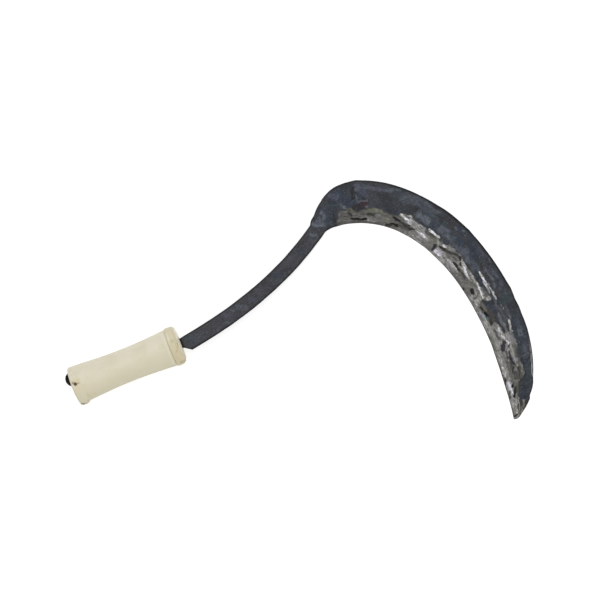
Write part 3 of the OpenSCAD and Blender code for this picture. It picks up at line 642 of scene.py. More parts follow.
# Streaks, slots and blots of the ground steel: (d, a, d, a, width, brightness), later ones on top
groundStrokes = [
    # heel
    (194.5, 3, 197.5, 12, 4, .48), (204.8, 15, 205, 9.5, 3, .27), (205, 9.3, 206, 7.6, 1.6, .2),
    (216.5, 7.5, 217, 12, 4, .36), (207, 6.2, 220, 5.9, 1.2, .52), (198.6, 3.4, 206, 3.1, 1.4, .52),
    (199, 5, 206, 4.6, .8, .34), (221, 3, 229, 2.9, 1.8, .6), (229, 3, 231.6, 3.3, 1.8, .54),
    (233.6, 2.4, 239, 3, 3, .4), (194, 1.6, 198, 1.9, 2, .36), (196, 12.4, 200, 11.4, 2.4, .38),
    (208, 6.8, 219, 6.8, 1.8, .5), (222, 5.6, 231, 5.6, 2.4, .5), (226, 11.2, 232, 11, 2, .5),
    (199, 1.4, 236, 1.1, .9, .38), (206.2, 4.5, 213, 3.8, 2, 0), (213, 3.8, 217.4, 4, 1.6, .04),
    (217.4, 4.4, 220.2, 4.2, 2, 0), (221.4, 4.8, 221.9, 5.2, .9, .62), (221.5, 9, 228.6, 9, 2.2, .24),
    (221.5, 10, 228.6, 10.2, 1, .12), (230, 9, 233.6, 13, 4, .53), (236.6, 12, 237.6, 6, 3, .5),
    (219, 13.4, 222.6, 12.6, 1.6, .36), (241, 1.6, 248, 3, 3, .22), (240, 2.2, 245, 4.1, 1.3, .12),
    (244.6, 4.2, 252.4, 4.8, 2, .02), (250.1, 4, 250.9, 3.7, 2.2, 0), (238.3, 1.5, 238.8, 1.6, .9, .62),
    (247.3, 2.2, 248, 2.8, .9, .48), (253, 6, 262, 6.2, 5, .36), (249, 1.2, 258, 1.4, 2, .5),
    (245.2, 10.8, 247, 10.6, 1.7, .1), (247, 10.6, 252, 9.5, 1.9, .06), (252, 9.2, 258, 8, 2, .22),
    (258, 8.2, 262, 8.2, 2.2, .24), (262.4, 8.6, 265, 7.4, 4.4, 0), (258, 7.4, 262, 7.4, 3, .24),
    (256, 3.4, 258.5, 4.6, 2.2, .38), (265.6, 6, 271, 5.6, 3.4, .5), (263, 9.6, 266, 9.4, 1.6, .45),
    # first bright group
    (250, 13.4, 255, 11.2, 1.4, .4), (257, 12.6, 270, 13, 4.4, .64), (262, 15.4, 272, 14.6, 2, .7),
    (266, 10.4, 270.4, 10.4, 2.8, .66), (256.6, 17, 258.6, 18.8, 1.6, .7), (258.6, 19, 260, 15, 2.2, .74),
    (250.6, 16, 253.4, 15.3, 1.9, .86), (253.4, 15, 256, 13.9, 1.8, .78), (256, 13.6, 261.6, 11.7, 2.6, .93),
    (270.4, 13.6, 272.2, 12.2, 1.3, .42), (272.4, 9.2, 276, 9, 2.6, .72), (276, 9, 279.4, 7.8, 2.3, .7),
    (280.6, 7.8, 283.4, 6.8, 2.2, .74), (269, 5, 271.5, 3, 1.6, .5), (276, 14.8, 281, 14, 1, .36),
    (277, 12.8, 284.4, 12.4, 1.6, .3), (284, 14, 286.4, 13, 1.2, .24), (278, 16.5, 280.4, 16, 2, .8),
    (280.4, 16, 285, 16.9, 2.5, .84), (285, 16.9, 289, 16.5, 2.5, .84), (277.4, 17.1, 278.6, 16.8, 1.4, .92),
    (283, 13, 290, 12, 3.4, .44), (274.4, 8.6, 277.8, 7.8, 3, .84), (281, 14.6, 285, 14, 1.8, .26),
    (281, 2.2, 289, 2, 3.6, .48), (283, 4.6, 289, 4.6, 2.4, .52),
    # bent dark line and the pale square under it
    (290, 15, 293, 12, 2.6, .6), (303, 12, 309, 9, 4, .47), (309, 15.4, 315, 13, 4.6, .5),
    (311, 12.6, 315.6, 12.8, 1.2, .38), (304, 5, 316, 5.6, 5, .66), (302.6, 4.6, 306, 4.8, 3, .73),
    (300, 16.4, 304, 15, 3, .56), (295.4, 7, 299.4, 6.6, 4, .7), (294.6, 4.2, 300.8, 3.8, 2.5, .95),
    (310.2, 6.9, 317.8, 6.5, 2.5, .86), (311, 6.9, 311.6, 6.8, 1.1, .8), (314.6, 6.2, 317.6, 6.2, 1, .78),
    (291.4, 7.7, 292.4, 3.8, 3.2, .13), (295, 10.9, 297, 10.9, 1.6, .28), (297, 10.8, 300.4, 11.1, 2.1, .13),
    (300, 16.2, 306, 17.4, 1.8, .6), (306, 18, 314, 19.2, 1.6, .62), (300, 10.6, 303.8, 11.5, 2.8, .22),
    (303.8, 11.6, 307.4, 13.8, 2.8, .25), (307.4, 13.9, 311.4, 15.8, 2.8, .27),
    (311.4, 16.2, 316.4, 17, 3, .26), (316.4, 17.6, 317.8, 16, 2.2, .14), (295, 12.6, 297, 13.1, 1.4, .68),
    (297.2, 14.3, 298.9, 14, 2.7, .85),
    # apex and the long streaks
    (316.4, 9.6, 325.6, 8.7, 2.1, .13), (326, 8.5, 334, 8.1, 1.6, .26), (318.9, 15.5, 320.2, 15.2, 1.4, .8),
    (324, 12.8, 331, 11, 1.8, .66), (319.4, 14.4, 321.2, 12.7, 1.4, .08), (319.6, 16.8, 322, 16.2, 2, .76),
    (322, 16.2, 326, 15.4, 3, .86), (325, 14.6, 330, 12.3, 2.6, .92), (329, 12.1, 336.8, 10.6, 2.6, .88),
    (328, 8.8, 334, 8.4, 1.8, .3), (333, 15.3, 345, 15.2, 2.2, .73), (345.3, 15.6, 350.4, 15.1, 2.7, .9),
    (351, 17.2, 361, 17.6, 3.4, .45), (350, 14.9, 354, 13.9, 2, .84), (354, 13.8, 359.2, 13.2, 2.2, .84),
    (355, 11, 360, 10.6, 2.6, .62), (336, 9, 346, 12, 4, .47), (336, 4.2, 351, 4.4, 3, .45),
    (358, 4.4, 362.6, 4.6, 3, .66), (364, 7.6, 371, 7, 3, .38), (364, 10.4, 375, 9.8, 2.6, .4),
    (347, 7.5, 349.8, 7, 2.8, .08), (355, 6.2, 355.8, 5.8, 2, .3), (351, 10, 354.2, 7, 2, .68),
    (352, 5, 355, 3, 1.8, .66), (357.5, 8.6, 360, 4.4, 2.6, .66), (341.2, 1.3, 342, 1.1, 1.2, .12),
    (331, 4, 332, 3, 1, .42), (336.6, 23.6, 341, 23.5, 2, .82), (340.6, 23.9, 346.6, 21.7, 2.5, .9),
    (349, 21.4, 357.4, 21.4, 2.4, .78), (346.4, 23.2, 350.4, 22.6, 2.4, .8),
    (349.4, 21.9, 352.6, 21.3, 1.3, .84), (350.4, 24.8, 354, 24.2, 1.8, .72),
    (354, 21.9, 357.2, 21.3, 1.5, .76), (354, 24.5, 358.4, 24.1, 2, .76), (359.6, 24.2, 364.4, 23.9, 2.2, .88),
    (364.4, 23.6, 367, 23, 1.8, .72), (359, 22, 363, 21.4, 1.4, .4), (362.4, 19.4, 362, 16, 3.4, .68),
    (360.6, 14, 362.6, 11.6, 2.4, .4),
    # lens and blots
    (366, 11, 371, 9.6, 2.6, .36), (363.6, 10.6, 365.6, 8.6, 1.8, .44), (366, 6, 369.6, 6.6, 1.8, .15),
    (373, 5, 377.6, 5.4, 2.6, .56), (372.6, 7.9, 377.4, 8.1, 2.3, 0), (370.6, 3.6, 372.4, 2.6, 1.6, .62),
    (378.4, 7.4, 381.6, 6.8, 2, .42), (379.6, 4.4, 387, 4.2, 2.4, .68), (386, 5, 392, 5, 2.4, .64),
    (381.8, 9.5, 386, 9, 3, .18), (389.6, 26.2, 393, 24.7, 2.3, .92), (393, 24.7, 398, 23.7, 2, .78),
    (399.5, 24.6, 399.6, 19.4, 2.2, .62), (380, 18.6, 398, 19.4, 2.8, .5), (373.6, 25.6, 375, 24.6, 1.2, .7),
    (376.6, 26.4, 378, 25.4, 1.1, .8),
    # crook of the point: bright ridge, violet blot, branching dark lines
    (400, 18.4, 409, 19, 4, .63), (403, 22.4, 409, 22.6, 4.4, .49), (402, 21.4, 403.4, 24, 2.6, .46),
    (413, 22.8, 418, 21, 3.2, .39), (418, 20.6, 428, 20, 3.2, .36), (388, 10, 391.6, 13, 3, .54),
    (392, 13.6, 393.8, 13.2, 1.5, .78), (412.6, 18, 414, 14, 3.6, .66), (416, 16.9, 425, 17, 3.2, .65),
    (393.8, 12.9, 397, 12.9, 2.5, .84), (392.4, 8.8, 401, 9, 2.6, .37), (393, 11.2, 399, 11, 1.8, .68),
    (397, 13.8, 404.6, 15.2, 2.2, .86), (403, 15, 408.4, 16.6, 2.2, .88), (397, 15, 402.6, 15.4, 2, .72),
    (406.4, 16.4, 408.2, 16.6, 1.4, .97), (408.6, 19.4, 409.4, 19, 1.4, .82),
    (411, 16.8, 411.6, 16.2, 1.7, .18), (405.8, 14.1, 407.6, 14.6, 1.5, .13), (402, 15, 405, 15.7, 1.8, .84),
    (406.4, 13.2, 411, 11.2, 2.8, .14), (401.4, 14.2, 404.6, 14.7, 2.2, .86),
    (409.6, 10.2, 413.4, 9.6, 3.4, .16), (412.4, 12.8, 415, 12.6, 1.6, .56), (407, 6.6, 413, 6, 1.8, .62),
    (416, 11.2, 431, 11.4, 2.8, .38), (424.4, 11.4, 428, 10, 1.2, .6), (428.6, 12.2, 437, 10, 4, .31),
    (416.6, 14.7, 421, 14.5, 1.4, .18), (421, 14.1, 427, 14.2, 1.8, .14), (427, 14.6, 431, 16.2, 1.9, .14),
    (431, 15.8, 433.4, 13.4, 2, .2), (433.4, 13.4, 437.4, 12, 1.8, .2), (421.5, 13.6, 421.9, 10.6, 1, .28),
    (433.6, 17.4, 438, 16.4, 1.8, .34), (431.6, 15.4, 437.2, 13.6, 1.4, .56), (426, 19, 432, 18.2, 3, .6),
    (428.1, 19.5, 428.9, 19.1, 1.6, .38), (430, 20.4, 436, 20.8, 1.6, .4), (434.6, 19, 438.4, 18, 3, .22),
    (438, 18, 444, 16.8, 3.4, .26), (440, 20, 446, 16.6, 2.6, .32), (440, 15, 449, 12.6, 3.6, .36),
    (430, 22, 436, 22.4, 1.8, .53), (436, 22.4, 442.2, 21.2, 2, .44), (438, 14, 444, 13, 4.8, .33),
    (445.8, 15.2, 446.6, 9.4, 2, .49), (415, 8.2, 420, 8.2, 2.4, .48), (415.6, 9.9, 419.6, 9.3, 1.8, .63),
    (426, 9.2, 440, 8.8, 4, .43),
    # along the edge of the point
    (394, 2.6, 400, 2.2, 1.8, .5), (403, 3.4, 411, 3, 1.8, .52), (404, 4.6, 410, 4.4, 2, .68),
    (394, 4.4, 399, 4.2, 2, .66), (385, .9, 482, .6, .9, .36), (420, 4.8, 430, 3.6, 2.4, .68),
    (421, 3.7, 430, 3.3, 2, .74), (429.8, 3.2, 440, 3.2, 2.3, .84), (430, .8, 446, .6, 1.2, .27),
    (428, 6, 440, 6.4, 3, .62), (440, 4.6, 444, 4.4, 3, .56), (436, 8.6, 449, 8.4, 2.6, .46),
    (440, 2, 446, 1.3, 1.2, .28), (443, 2.2, 444, 1.6, 1.8, .2), (446, 4.3, 448.8, 4, 2.8, .84),
    (448, 3.4, 452.4, 3.4, 2.6, .82), (448, 5.6, 452, 5.4, 2, .8), (452.4, 5.6, 456.4, 5.4, 1.8, .88),
    (450, 11.8, 460, 10.6, 3, .3), (457, 8.6, 463.6, 8, 2.6, .57), (448.6, 8.4, 450.1, 7, 2.7, .03),
    (452.4, 9.6, 456, 8.8, 2.4, 0), (456, 8.2, 460.6, 5.8, 2, .02), (457, 3.4, 463, 3.8, 2.2, .72),
    (447, 9.8, 449, 9, 2, .42), (456.4, 11.2, 457.2, 10.8, 1.2, .2), (454.4, 2.7, 461, 1.8, 1.5, .3),
    # tip
    (466, 18, 473, 13, 4, .3), (467.4, 17.6, 469.6, 15.8, 2.2, .18), (466.4, 14, 471.6, 13.2, 1.5, .56),
    (464, 10.2, 466.4, 9.6, 1.3, .34), (466.2, 11.4, 470.6, 10.8, 2.4, .26), (471, 10.5, 473.6, 9.5, 1, .3),
    (464.6, 7.6, 468, 6.6, 3, .76), (472.4, 4.3, 476, 3.9, 2.3, .76), (468.4, 8, 474.6, 6.6, 1.6, .26),
    (473, 11, 478, 7, 1.6, .4), (464, 4, 476, 3.6, 3, .66), (469.4, 4.2, 471, 3.8, 1, .55),
    (478, 5, 479, 3.6, 1.4, .1), (473.6, 5.6, 477, 4.8, 1.8, .78), (478.8, 3.6, 479.4, 1, 2, .14),
    (424, 34.6, 446, 28.8, 1.8, .66), (412, 37.6, 424, 34.8, 1.4, .6), (479.9, 4.2, 480.5, 3.8, 1.2, .62),
]

# Glazes over the ground steel: (d, a, d, a, width, strength)
glazeStrokes = {
    "lilac": [(296, 5, 300, 5, 5, .4), (371.4, 4, 376, 5.8, 2.6, .45), (404, 22, 410, 22, 3, .2)],
    "glass": [(375.4, 6, 378.6, 5.8, 2.2, .55), (377, 4.6, 379, 5, 1.6, .4)],
    "olive": [(223, 13, 233, 13, 5, .6), (203.6, 13, 206.4, 13, 3, .5), (237, 5, 242, 7, 5, .4),
        (304, 11, 306, 9, 3, .3), (284, 12, 290, 11.6, 4, .5), (396, 4, 426, 4, 6, .3),
        (470, 4, 477, 3, 4, .35), (365, 8, 371, 9.6, 3, .5), (412, 21, 422, 18.6, 3, .35),
        (432, 20.4, 442, 19.6, 3, .4), (448, 12, 457, 11, 4, .5)],
    "plum": [(406, 14, 411, 11, 4, .6), (411, 9.6, 413, 10, 3, .6), (417, 14.6, 430, 16, 2.4, .5),
        (292, 9, 292.6, 4, 2.6, .5), (194, 6, 199, 9, 4, .2)],
}

# Patches of the scale by tint: (d, a, d, a, width, strength). Pale and dark patches stand partly for painted light
# and shade of the hammer's ridges and dimples
scaleStrokes = {
    "plain": [(-4, 5, 4, 5, 12, .7), (4, 8, 160, 8, 24, .7), (160, 8, 172, 8, 20, .4),
        (228, 28, 240, 26, 12, .3), (330, 30, 352, 30, 8, .4), (376, 26, 390, 20, 8, .4)],
    # the pale strokes from d 176 to 184 are painted highlights on hammered ridges at the heel's neck
    "pale": [(363, 22, 371, 21.8, 2, .8), (176.2, 17, 177.6, 9.4, 2, 1), (177.6, 9.4, 181.6, 3.6, 1.5, .95),
        (183.4, 18.4, 182.8, 10, 1.6, .9), (182.8, 10, 181, 5.6, 1.2, .75), (180, 15, 180.6, 8, 3, .45),
        (322, 25.4, 334, 24, 4, .5), (340, 28.6, 346, 31, 1.6, .4), (219.2, 17.6, 220, 17.2, 1.8, 1),
        (166.6, 10, 169.8, 5, 3, .8), (195.8, 24.4, 197.4, 30.8, 1.7, .95), (200.4, 17.4, 202, 16, 1.8, .8),
        (200.2, 17, 201, 16.2, 2.6, 1), (198, 20, 200, 17, 2, .5), (211.4, 37.6, 211.6, 33.6, 4.6, .6),
        (216, 35, 228, 35.4, 3.4, .35), (211, 28, 211.2, 24.4, 1.4, .6), (211, 21.4, 214, 21, 1.8, .6),
        (214, 22, 220, 22.6, 1.4, .75), (232, 35, 243, 38.2, 2.6, .6), (249, 32, 259, 35, 9, .4),
        (264, 34, 274, 34, 2.6, .4), (283, 22.4, 291, 21, 3, .5), (249, 34.8, 251.4, 34.6, 1.4, .7),
        (264, 36.4, 272, 36, 2.4, .55), (273, 36.8, 276, 36.4, 1.8, .8), (265, 23, 272, 23, 6.5, .95),
        (262, 31, 273, 30, 4, .4), (286, 25, 292, 27, 5, .8), (295, 23, 300, 25.5, 3.6, .7),
        (294.6, 34.6, 297, 34.8, 1.6, .7), (300.4, 37, 302, 38, 1.2, .8), (304.6, 36.4, 305.6, 35.4, 1.2, .6),
        (292, 22, 304, 22.4, 3, .5), (304, 21, 318, 24, 4.4, .55), (312, 26, 313, 26.6, 1, .7),
        (315, 26, 322, 21, 5, .6), (320, 22, 332, 20.6, 4, .45), (325.6, 33, 326.4, 32.4, 1.4, .8),
        (333, 38.8, 334.4, 38, 1.6, 1), (339, 30, 349, 31.4, 2.2, .8), (339.6, 28, 341, 27, 1, .6),
        (336, 31, 337, 30.6, 1.2, .6), (343.4, 35.6, 350, 36.4, 3, .45), (353, 29.4, 356, 29.4, 1.6, .9),
        (364, 35, 368, 36, 4, .3), (373, 22, 390, 23.4, 3.6, .35), (379, 18.8, 398, 19, 2.4, .9),
        (376, 29.6, 385, 29, 3, .35), (350, 18.6, 361, 18, 2.4, .4), (385.6, 29.2, 387.8, 28.4, 1.8, .8),
        (366.4, 16, 369.4, 13.6, 3, .35), (392, 33, 396, 32, 5, .45), (399, 32.6, 405.4, 31, 4.6, .65),
        (407.4, 34.6, 409, 34, 1.2, .5), (411.4, 27.4, 412.4, 26.8, 1, .9), (416, 31, 421, 30, 3.4, .4),
        (423.4, 31.6, 424.6, 26.4, 1.6, .6), (426, 31, 427, 27, 2, .35), (62, 9, 68, 5, 5, .35),
        (32, 3, 33.6, 3.6, 1.6, .5), (41, 5.4, 46, 3.4, 1.6, .4), (54, 12, 55.6, 9.6, 1.6, .5),
        (82, 6, 84, 6.4, 1.4, .4), (111, 3, 112, 2.6, 1.6, .5), (122.4, 3.2, 123.4, 2.8, 1.2, .4),
        (138, 5, 141, 5.4, 2, .4), (161, 3.2, 163.6, 2.4, 1.4, .4)],
    "navy": [(184, 8, 192, 22, 6, .35), (196, 29, 206, 20, 10, .55), (302.6, 29, 308.6, 26.4, 4.4, 1),
        (297, 36, 303, 34.4, 3, .7), (262, 30, 272, 28.6, 4, .35), (290, 30.6, 296, 28, 3, .5),
        (310, 36, 324, 29, 8, .45), (366, 15.6, 370, 14.6, 4, .7), (372.6, 17.6, 376, 16.4, 2, .9),
        (336, 20.4, 346, 19.6, 2.6, .6), (391, 31, 397, 32, 5, .6), (409, 35, 413, 27, 4, .45),
        (428, 28.6, 431, 26.6, 2.6, .7), (448, 22, 464, 14, 8, .3), (238, 19.4, 248, 18, 4, .45),
        (144.6, 11, 147, 5, 3.4, .5), (109, 12, 114, 8, 5, .4), (386, 37, 391, 32, 4, .3)],
    "teal": [(181, 4, 188, 1.4, 2, .8), (188, 24, 194, 20, 3.4, .6), (281, 27, 288, 32, 4, .6),
        (295.6, 26, 299.6, 24, 3, .6), (304, 38, 309, 37, 2.4, .5), (369, 37, 372, 28, 6, .85),
        (362, 36, 366, 33, 3, .5), (400, 26.6, 405, 26.4, 2.4, .7), (415, 26, 422, 24.6, 3, .6),
        (431, 31, 447, 26, 3.2, .7), (445, 25, 452, 20, 4.4, .4), (1, 13, 3, 8, 3.6, .7),
        (302, 26, 300, 24.6, 1.6, .6)],
    "brown": [(374, 12.6, 383, 12, 3.6, .75), (384.6, 9, 387, 8, 2, .5), (281, 34, 292, 38, 4, .35),
        (276, 38, 279, 36, 3, .35), (359, 28, 366, 28.6, 2.6, .4), (376, 28, 384, 27, 3, .4),
        (224, 41, 236, 40.4, 1.4, .5), (374, 39, 378, 37.6, 1.4, .8), (172, 4, 176, 2.4, 2.6, .45),
        (20, 14.4, 26, 13.6, 1.4, .7), (62, 14.6, 67, 14.2, 1.2, .7), (156, 15, 162, 14.6, 1.2, .6),
        (331, 29.6, 334, 27.4, 3, .5), (350.6, 33, 353, 31, 2, .5)],
    "violet": [(191.4, 32, 195, 28, 4, .8), (209, 37, 213, 33, 4, .4), (215, 33, 220, 26, 4.6, .55),
        (211, 38.6, 220, 38.4, 1.6, .7), (221, 36, 231, 34, 4, .65), (276, 31, 280, 26, 4, .4),
        (257, 37, 261, 32, 3, .4), (286, 26, 292, 24, 4, .4), (319, 38, 327, 36.6, 3, .6),
        (338, 36, 344, 33, 4, .4), (356, 36, 360, 32, 4, .7), (415, 33, 421, 28, 5, .4),
        (178.4, 15, 179.4, 10, 2, .6), (45, 13, 50, 7, 5, .6), (131, 12, 137, 10, 4, .5),
        (75, 9, 80, 4, 3.4, .5), (86, 12, 90, 8, 5, .4), (401, 37.6, 408, 36, 2.4, .5),
        (370, 18.6, 376, 20.6, 2, .4), (5, 12, 9, 4, 5, .35)],
    # the first dark stroke, at d -8.6, is painted shade on the tang's root beside the ferrule
    "dark": [(-8.6, 0, -8.6, 11, 2.6, .9), (206.6, 37.6, 208, 33.6, 2, .8), (208.2, 36, 208.8, 24, 2.4, 1),
        (208.8, 24, 209.6, 20, 1.6, .6), (209, 30.2, 212, 30, 1.6, .8), (208, 14.6, 218, 14.2, 2.6, .8),
        (208, 16.8, 217, 18.4, 3, .6), (225, 21.6, 226, 21, 1.6, .5), (233, 30, 239, 19, 9, .6),
        (249, 23, 256, 22, 3.6, .4), (261, 34, 264, 32.6, 2.6, .4), (271.6, 39, 272.6, 37, 1.6, .8),
        (282, 35, 290, 36.6, 5, .4), (281.6, 31, 283.4, 29.6, 1.6, .6), (303.4, 23.6, 304.6, 23, 1.2, .6),
        (323, 30, 331, 28, 5, .45), (320.6, 26, 322.4, 25, 1.2, .5), (331.6, 29.4, 334.6, 28, 2.4, .7),
        (335, 28, 336.6, 27, 1.6, .4), (344.6, 28.4, 350, 27.6, 2, .85), (341, 28.4, 342.4, 27.4, 1, .7),
        (348, 19, 352, 18, 1.6, .6), (340, 18.4, 346, 18.4, 1, .4), (360, 13, 364, 11.4, 2.6, .4),
        (365.6, 17, 366.8, 9.6, 1.4, .5), (372.6, 8.3, 377.4, 8.5, 2, 1), (390.4, 23.4, 397.6, 22.6, 1.8, .8),
        (386, 16, 399.4, 17.2, 1.9, .85), (366, 24, 368, 20, 2, .4), (401, 38, 408, 36.8, 1.6, .5),
        (426, 24.4, 434, 24.6, 1.6, .9), (434, 24.6, 443.6, 22.6, 1.4, .85), (424, 33.4, 446, 27.8, .9, .8),
        (446, 17.6, 446.6, 21, 2, .3), (120, 8, 127, 4, 4, .4), (147.6, 12.4, 158, 11.4, 1.8, .6),
        (36, 1.2, 39, .9, 1.4, .5), (2, 2, 10, 1.6, 1.6, .6), (8, 1.4, 172, 1.3, 1.3, .55),
        (50.6, 6.4, 53, 4, 2, .4), (466.6, 17.6, 469.6, 15.8, 2.2, .5)],
    "pink": [(218.6, 18.6, 219.8, 16.4, 1.8, .8), (214.4, 22.6, 219.6, 22.4, 1, .35)],
    "rust": [(-8.4, 3, -7, 9, 2.2, .3), (209.6, 16.6, 213, 17.4, 3.6, .3), (213, 17, 219.6, 20, 3.6, .95),
        (214, 21.8, 220, 22, 1, .3), (434.6, 26.2, 437, 25.6, 1.4, .3)],
}


# Distance from the line between two points: to the nearest place on it, kept between its ends
def lineAway(p, q, p0, q0, p1, q1):
    dp, dq = p1 - p0, q1 - q0
    share = np.clip(((p - p0) * dp + (q - q0) * dq) / max(1e-9, dp * dp + dq * dq), 0, 1)
    return np.hypot(p - p0 - share * dp, q - q0 - share * dq)


# How much a stroke covers each point: full within half its width of the line, soft at the border
def strokeCover(p, q, line, width, softness=0.3):
    soft = min(max(softness * width, 0.45), 7 * softness)
    return smooth((width / 2 - lineAway(p, q, *line)) / soft + 0.5)


# Strokes of one colour: the strongest counts
def coverage(p, q, strokes, softness=0.3):
    total = np.zeros(p.shape)
    for *line, width, strength in strokes:
        total = np.maximum(total, strength * strokeCover(p, q, line, width, softness))
    return total


# Distance to a closed outline, positive inside: the nearest side, and how often a ray crosses the sides
def insideOutline(p, q, corners):
    nearest, inside = np.full(p.shape, 99.0), np.zeros(p.shape, bool)
    for (p0, q0), (p1, q1) in zip(corners, corners[1:] + corners[:1]):
        nearest = np.minimum(nearest, lineAway(p, q, p0, q0, p1, q1))
        if q0 != q1:
            inside ^= ((q0 > q) != (q1 > q)) & (p < p0 + (p1 - p0) * (q - q0) / (q1 - q0))
    return np.where(inside, nearest, -nearest)


# The place at the level of the grip's axis that the camera sees behind a point
def asSeen(x, y, z):
    lens = camera["level"] + camera["distance"]
    near = lens / (lens - z)
    return mix(camera["centreX"], x, near), mix(camera["centreY"], y, near)


# Distance along the lower and cutting edge to its direction in degrees: an even bend of the shank,
# then one arc after another, each turning to the right over its length
def edgeHeading(d, f):
    a = mix(f["startAngle"], f["endAngle"], np.clip(d / f["shankLong"], 0, 1) ** f["bendPower"])
    start = f["shankLong"]
    for radius, turn in f["arcs"]:
        length = math.radians(turn) * radius
        a = a - turn * np.clip((d - start) / length, 0, 1)
        start += length
    return a - math.degrees(f["pointLong"] / f["pointRadius"]) * np.clip((d - start) / f["pointLong"], 0, 1)


# Points of that edge: short steps in the direction halfway along each, summed up
def edgePath(d, f, endD):
    fine = np.linspace(0.0, endD, f["pathPoints"])
    a = np.radians(edgeHeading((fine[1:] + fine[:-1]) / 2, f))
    step = np.diff(fine)
    x = np.concatenate([[0.0], np.cumsum(step * np.cos(a))]) + frontX + f["tangLead"] + f["shoulderLong"]
    y = np.concatenate([[0.0], np.cumsum(step * np.sin(a))]) + f["shankY"]
    return np.stack([np.interp(d, fine, x), np.interp(d, fine, y)], -1)


# Width: bar, flare at the heel that closes in on the full width, taper to the blunt point
def steelWidth(d, f, endD):
    s = np.maximum(0.0, d - f["shankLong"] + f["flareLead"])
    full = mix(f["shankWide"], f["bladeWide"], 1.0 - np.exp(-(s / f["flareLong"]) ** f["flarePower"]))
    u = np.clip((d - endD + f["taperLong"]) / f["taperLong"], 0, 1)
    return mix(f["pointWide"], full, (1.0 - u ** f["taperPower"]) ** f["taperPoint"])


# The two sides of the bar in plan, station by station: hairpin at the butt, tang, shoulder, shank and
# blade, with a station number d that is negative behind the shoulder
def forgingPlan(f, endD):
    half = np.linspace(0, math.pi, f["hairPoints"])
    tangX, bend = frontX + f["tangLead"], f["clinchRadius"]
    hairY = f["tangRearY"] + bend
    s = np.concatenate([np.linspace(0, 0.9, 19)[1:], np.linspace(0.9, 1, 12)[1:]])[:, None]
    sides = []
    for out in (0.5, -0.5):   # the hairpin's outer side leads to the tang's right one
        radius = bend + out * f["tangRearWide"]
        point = np.array([[buttX + f["clinchDepth"], hairY + bend + out * f["clinchPoint"]]])
        hair = np.stack([buttX - radius * f["clinchFlat"] * np.sin(half), hairY + radius * np.cos(half)], -1)
        front = np.array([tangX, f["tangFrontY"] - out * f["tangFrontWide"]])
        sides.append(np.concatenate([point, hair, mix(hair[-1], front, s)]))
    nHair, nTang = len(half) + 1, len(s)

    bladeStart, tipStart = f["shankLong"] - 12, endD - f["tipLong"]
    d = np.concatenate([
        np.linspace(0, bladeStart, int(bladeStart / f["alongShank"]), endpoint=False),
        np.linspace(bladeStart, tipStart, int((tipStart - bladeStart) / f["alongBlade"]), endpoint=False),
        endD - f["tipLong"] * (1 - np.sin(np.linspace(0, quarterTurn, f["tipPoints"])))])
    a = np.radians(edgeHeading(d, f))
    edge = edgePath(d, f, endD)
    back = edge + steelWidth(d, f, endD)[:, None] * np.stack([-np.sin(a), np.cos(a)], -1)
    s = np.linspace(0, 1, 11)[1:-1, None]
    right, left = [np.concatenate([side, mix(side[-1], start[0], s), start])
                   for side, start in zip(sides, (edge, back))]
    tangD = right[nHair:nHair + nTang, 0] - tangX - f["shoulderLong"]
    station = np.concatenate([tangD[0] - 1 - np.linspace(24, 0, nHair), tangD,
                              np.linspace(-f["shoulderLong"], 0, len(s) + 2)[1:-1], d])
    return right, left, station, nHair, nTang


# Thickness, level of the underside, and share of blade against bar, station by station
def forgingLaws(f, station, cornerEnd, endD, nHair, nTang):
    hair, tang = slice(0, nHair), slice(nHair, nHair + nTang)
    back = mix(f["backThick"], f["pointThick"], np.clip((station - cornerEnd) / (endD - cornerEnd), 0, 1))
    thick = mix(f["shankThick"], back, smooth((station - f["shankLong"] + f["thinningLead"]) / f["thinningLong"]))
    thick[hair] = f["tangRearThick"]
    thick[0] = f["clinchPoint"]
    thick[tang] = mix(f["tangRearThick"], f["tangFrontThick"], np.linspace(0, 1, nTang))
    low = mix(-f["shankThick"] / 2, -f["drop"], smooth(station / f["shankLong"]))
    low[:tang.stop] = -thick[:tang.stop] / 2
    bladed = smooth((station - f["bevelStart"]) / f["bevelRun"] + 0.5)
    return thick, low, bladed


# Height of the top at (d, a) before any marks: the lower of the bevel's slope and the plate's face, with
# rounded sides
def topHeight(f, d, a, wide, thick, bladed):
    band = np.minimum(law(f["bevel"], d) + bladed * f["bevelWave"] * softNoise(d, a, 5.0, 12), wide - 0.6)
    bandHigh = thick * f["plateShare"]
    slope = f["edgeThick"] + (bandHigh - f["edgeThick"]) * a / np.maximum(band, 1.0)
    plate = bandHigh + (thick - bandHigh) * np.maximum(a - band, 0) / np.maximum(wide - band, 1.0)
    high = mix(thick + 0 * a, softLower(slope, plate, f["plateBlend"]), bladed)
    towardsBlade = smooth((d - f["shankLong"]) / 30)
    roundWide = np.minimum(mix(f["barRound"], f["backRound"], towardsBlade), wide * 0.4)
    roundHigh = np.minimum(mix(f["barRoundHigh"], f["backRoundHigh"], towardsBlade), thick * 0.42)
    high = high - roundHigh * (roundOff((wide - a) / roundWide) + (1 - bladed) * roundOff(a / roundWide))
    return high - bladed * f["edgeRoundHigh"] * roundOff(a / f["edgeRound"])


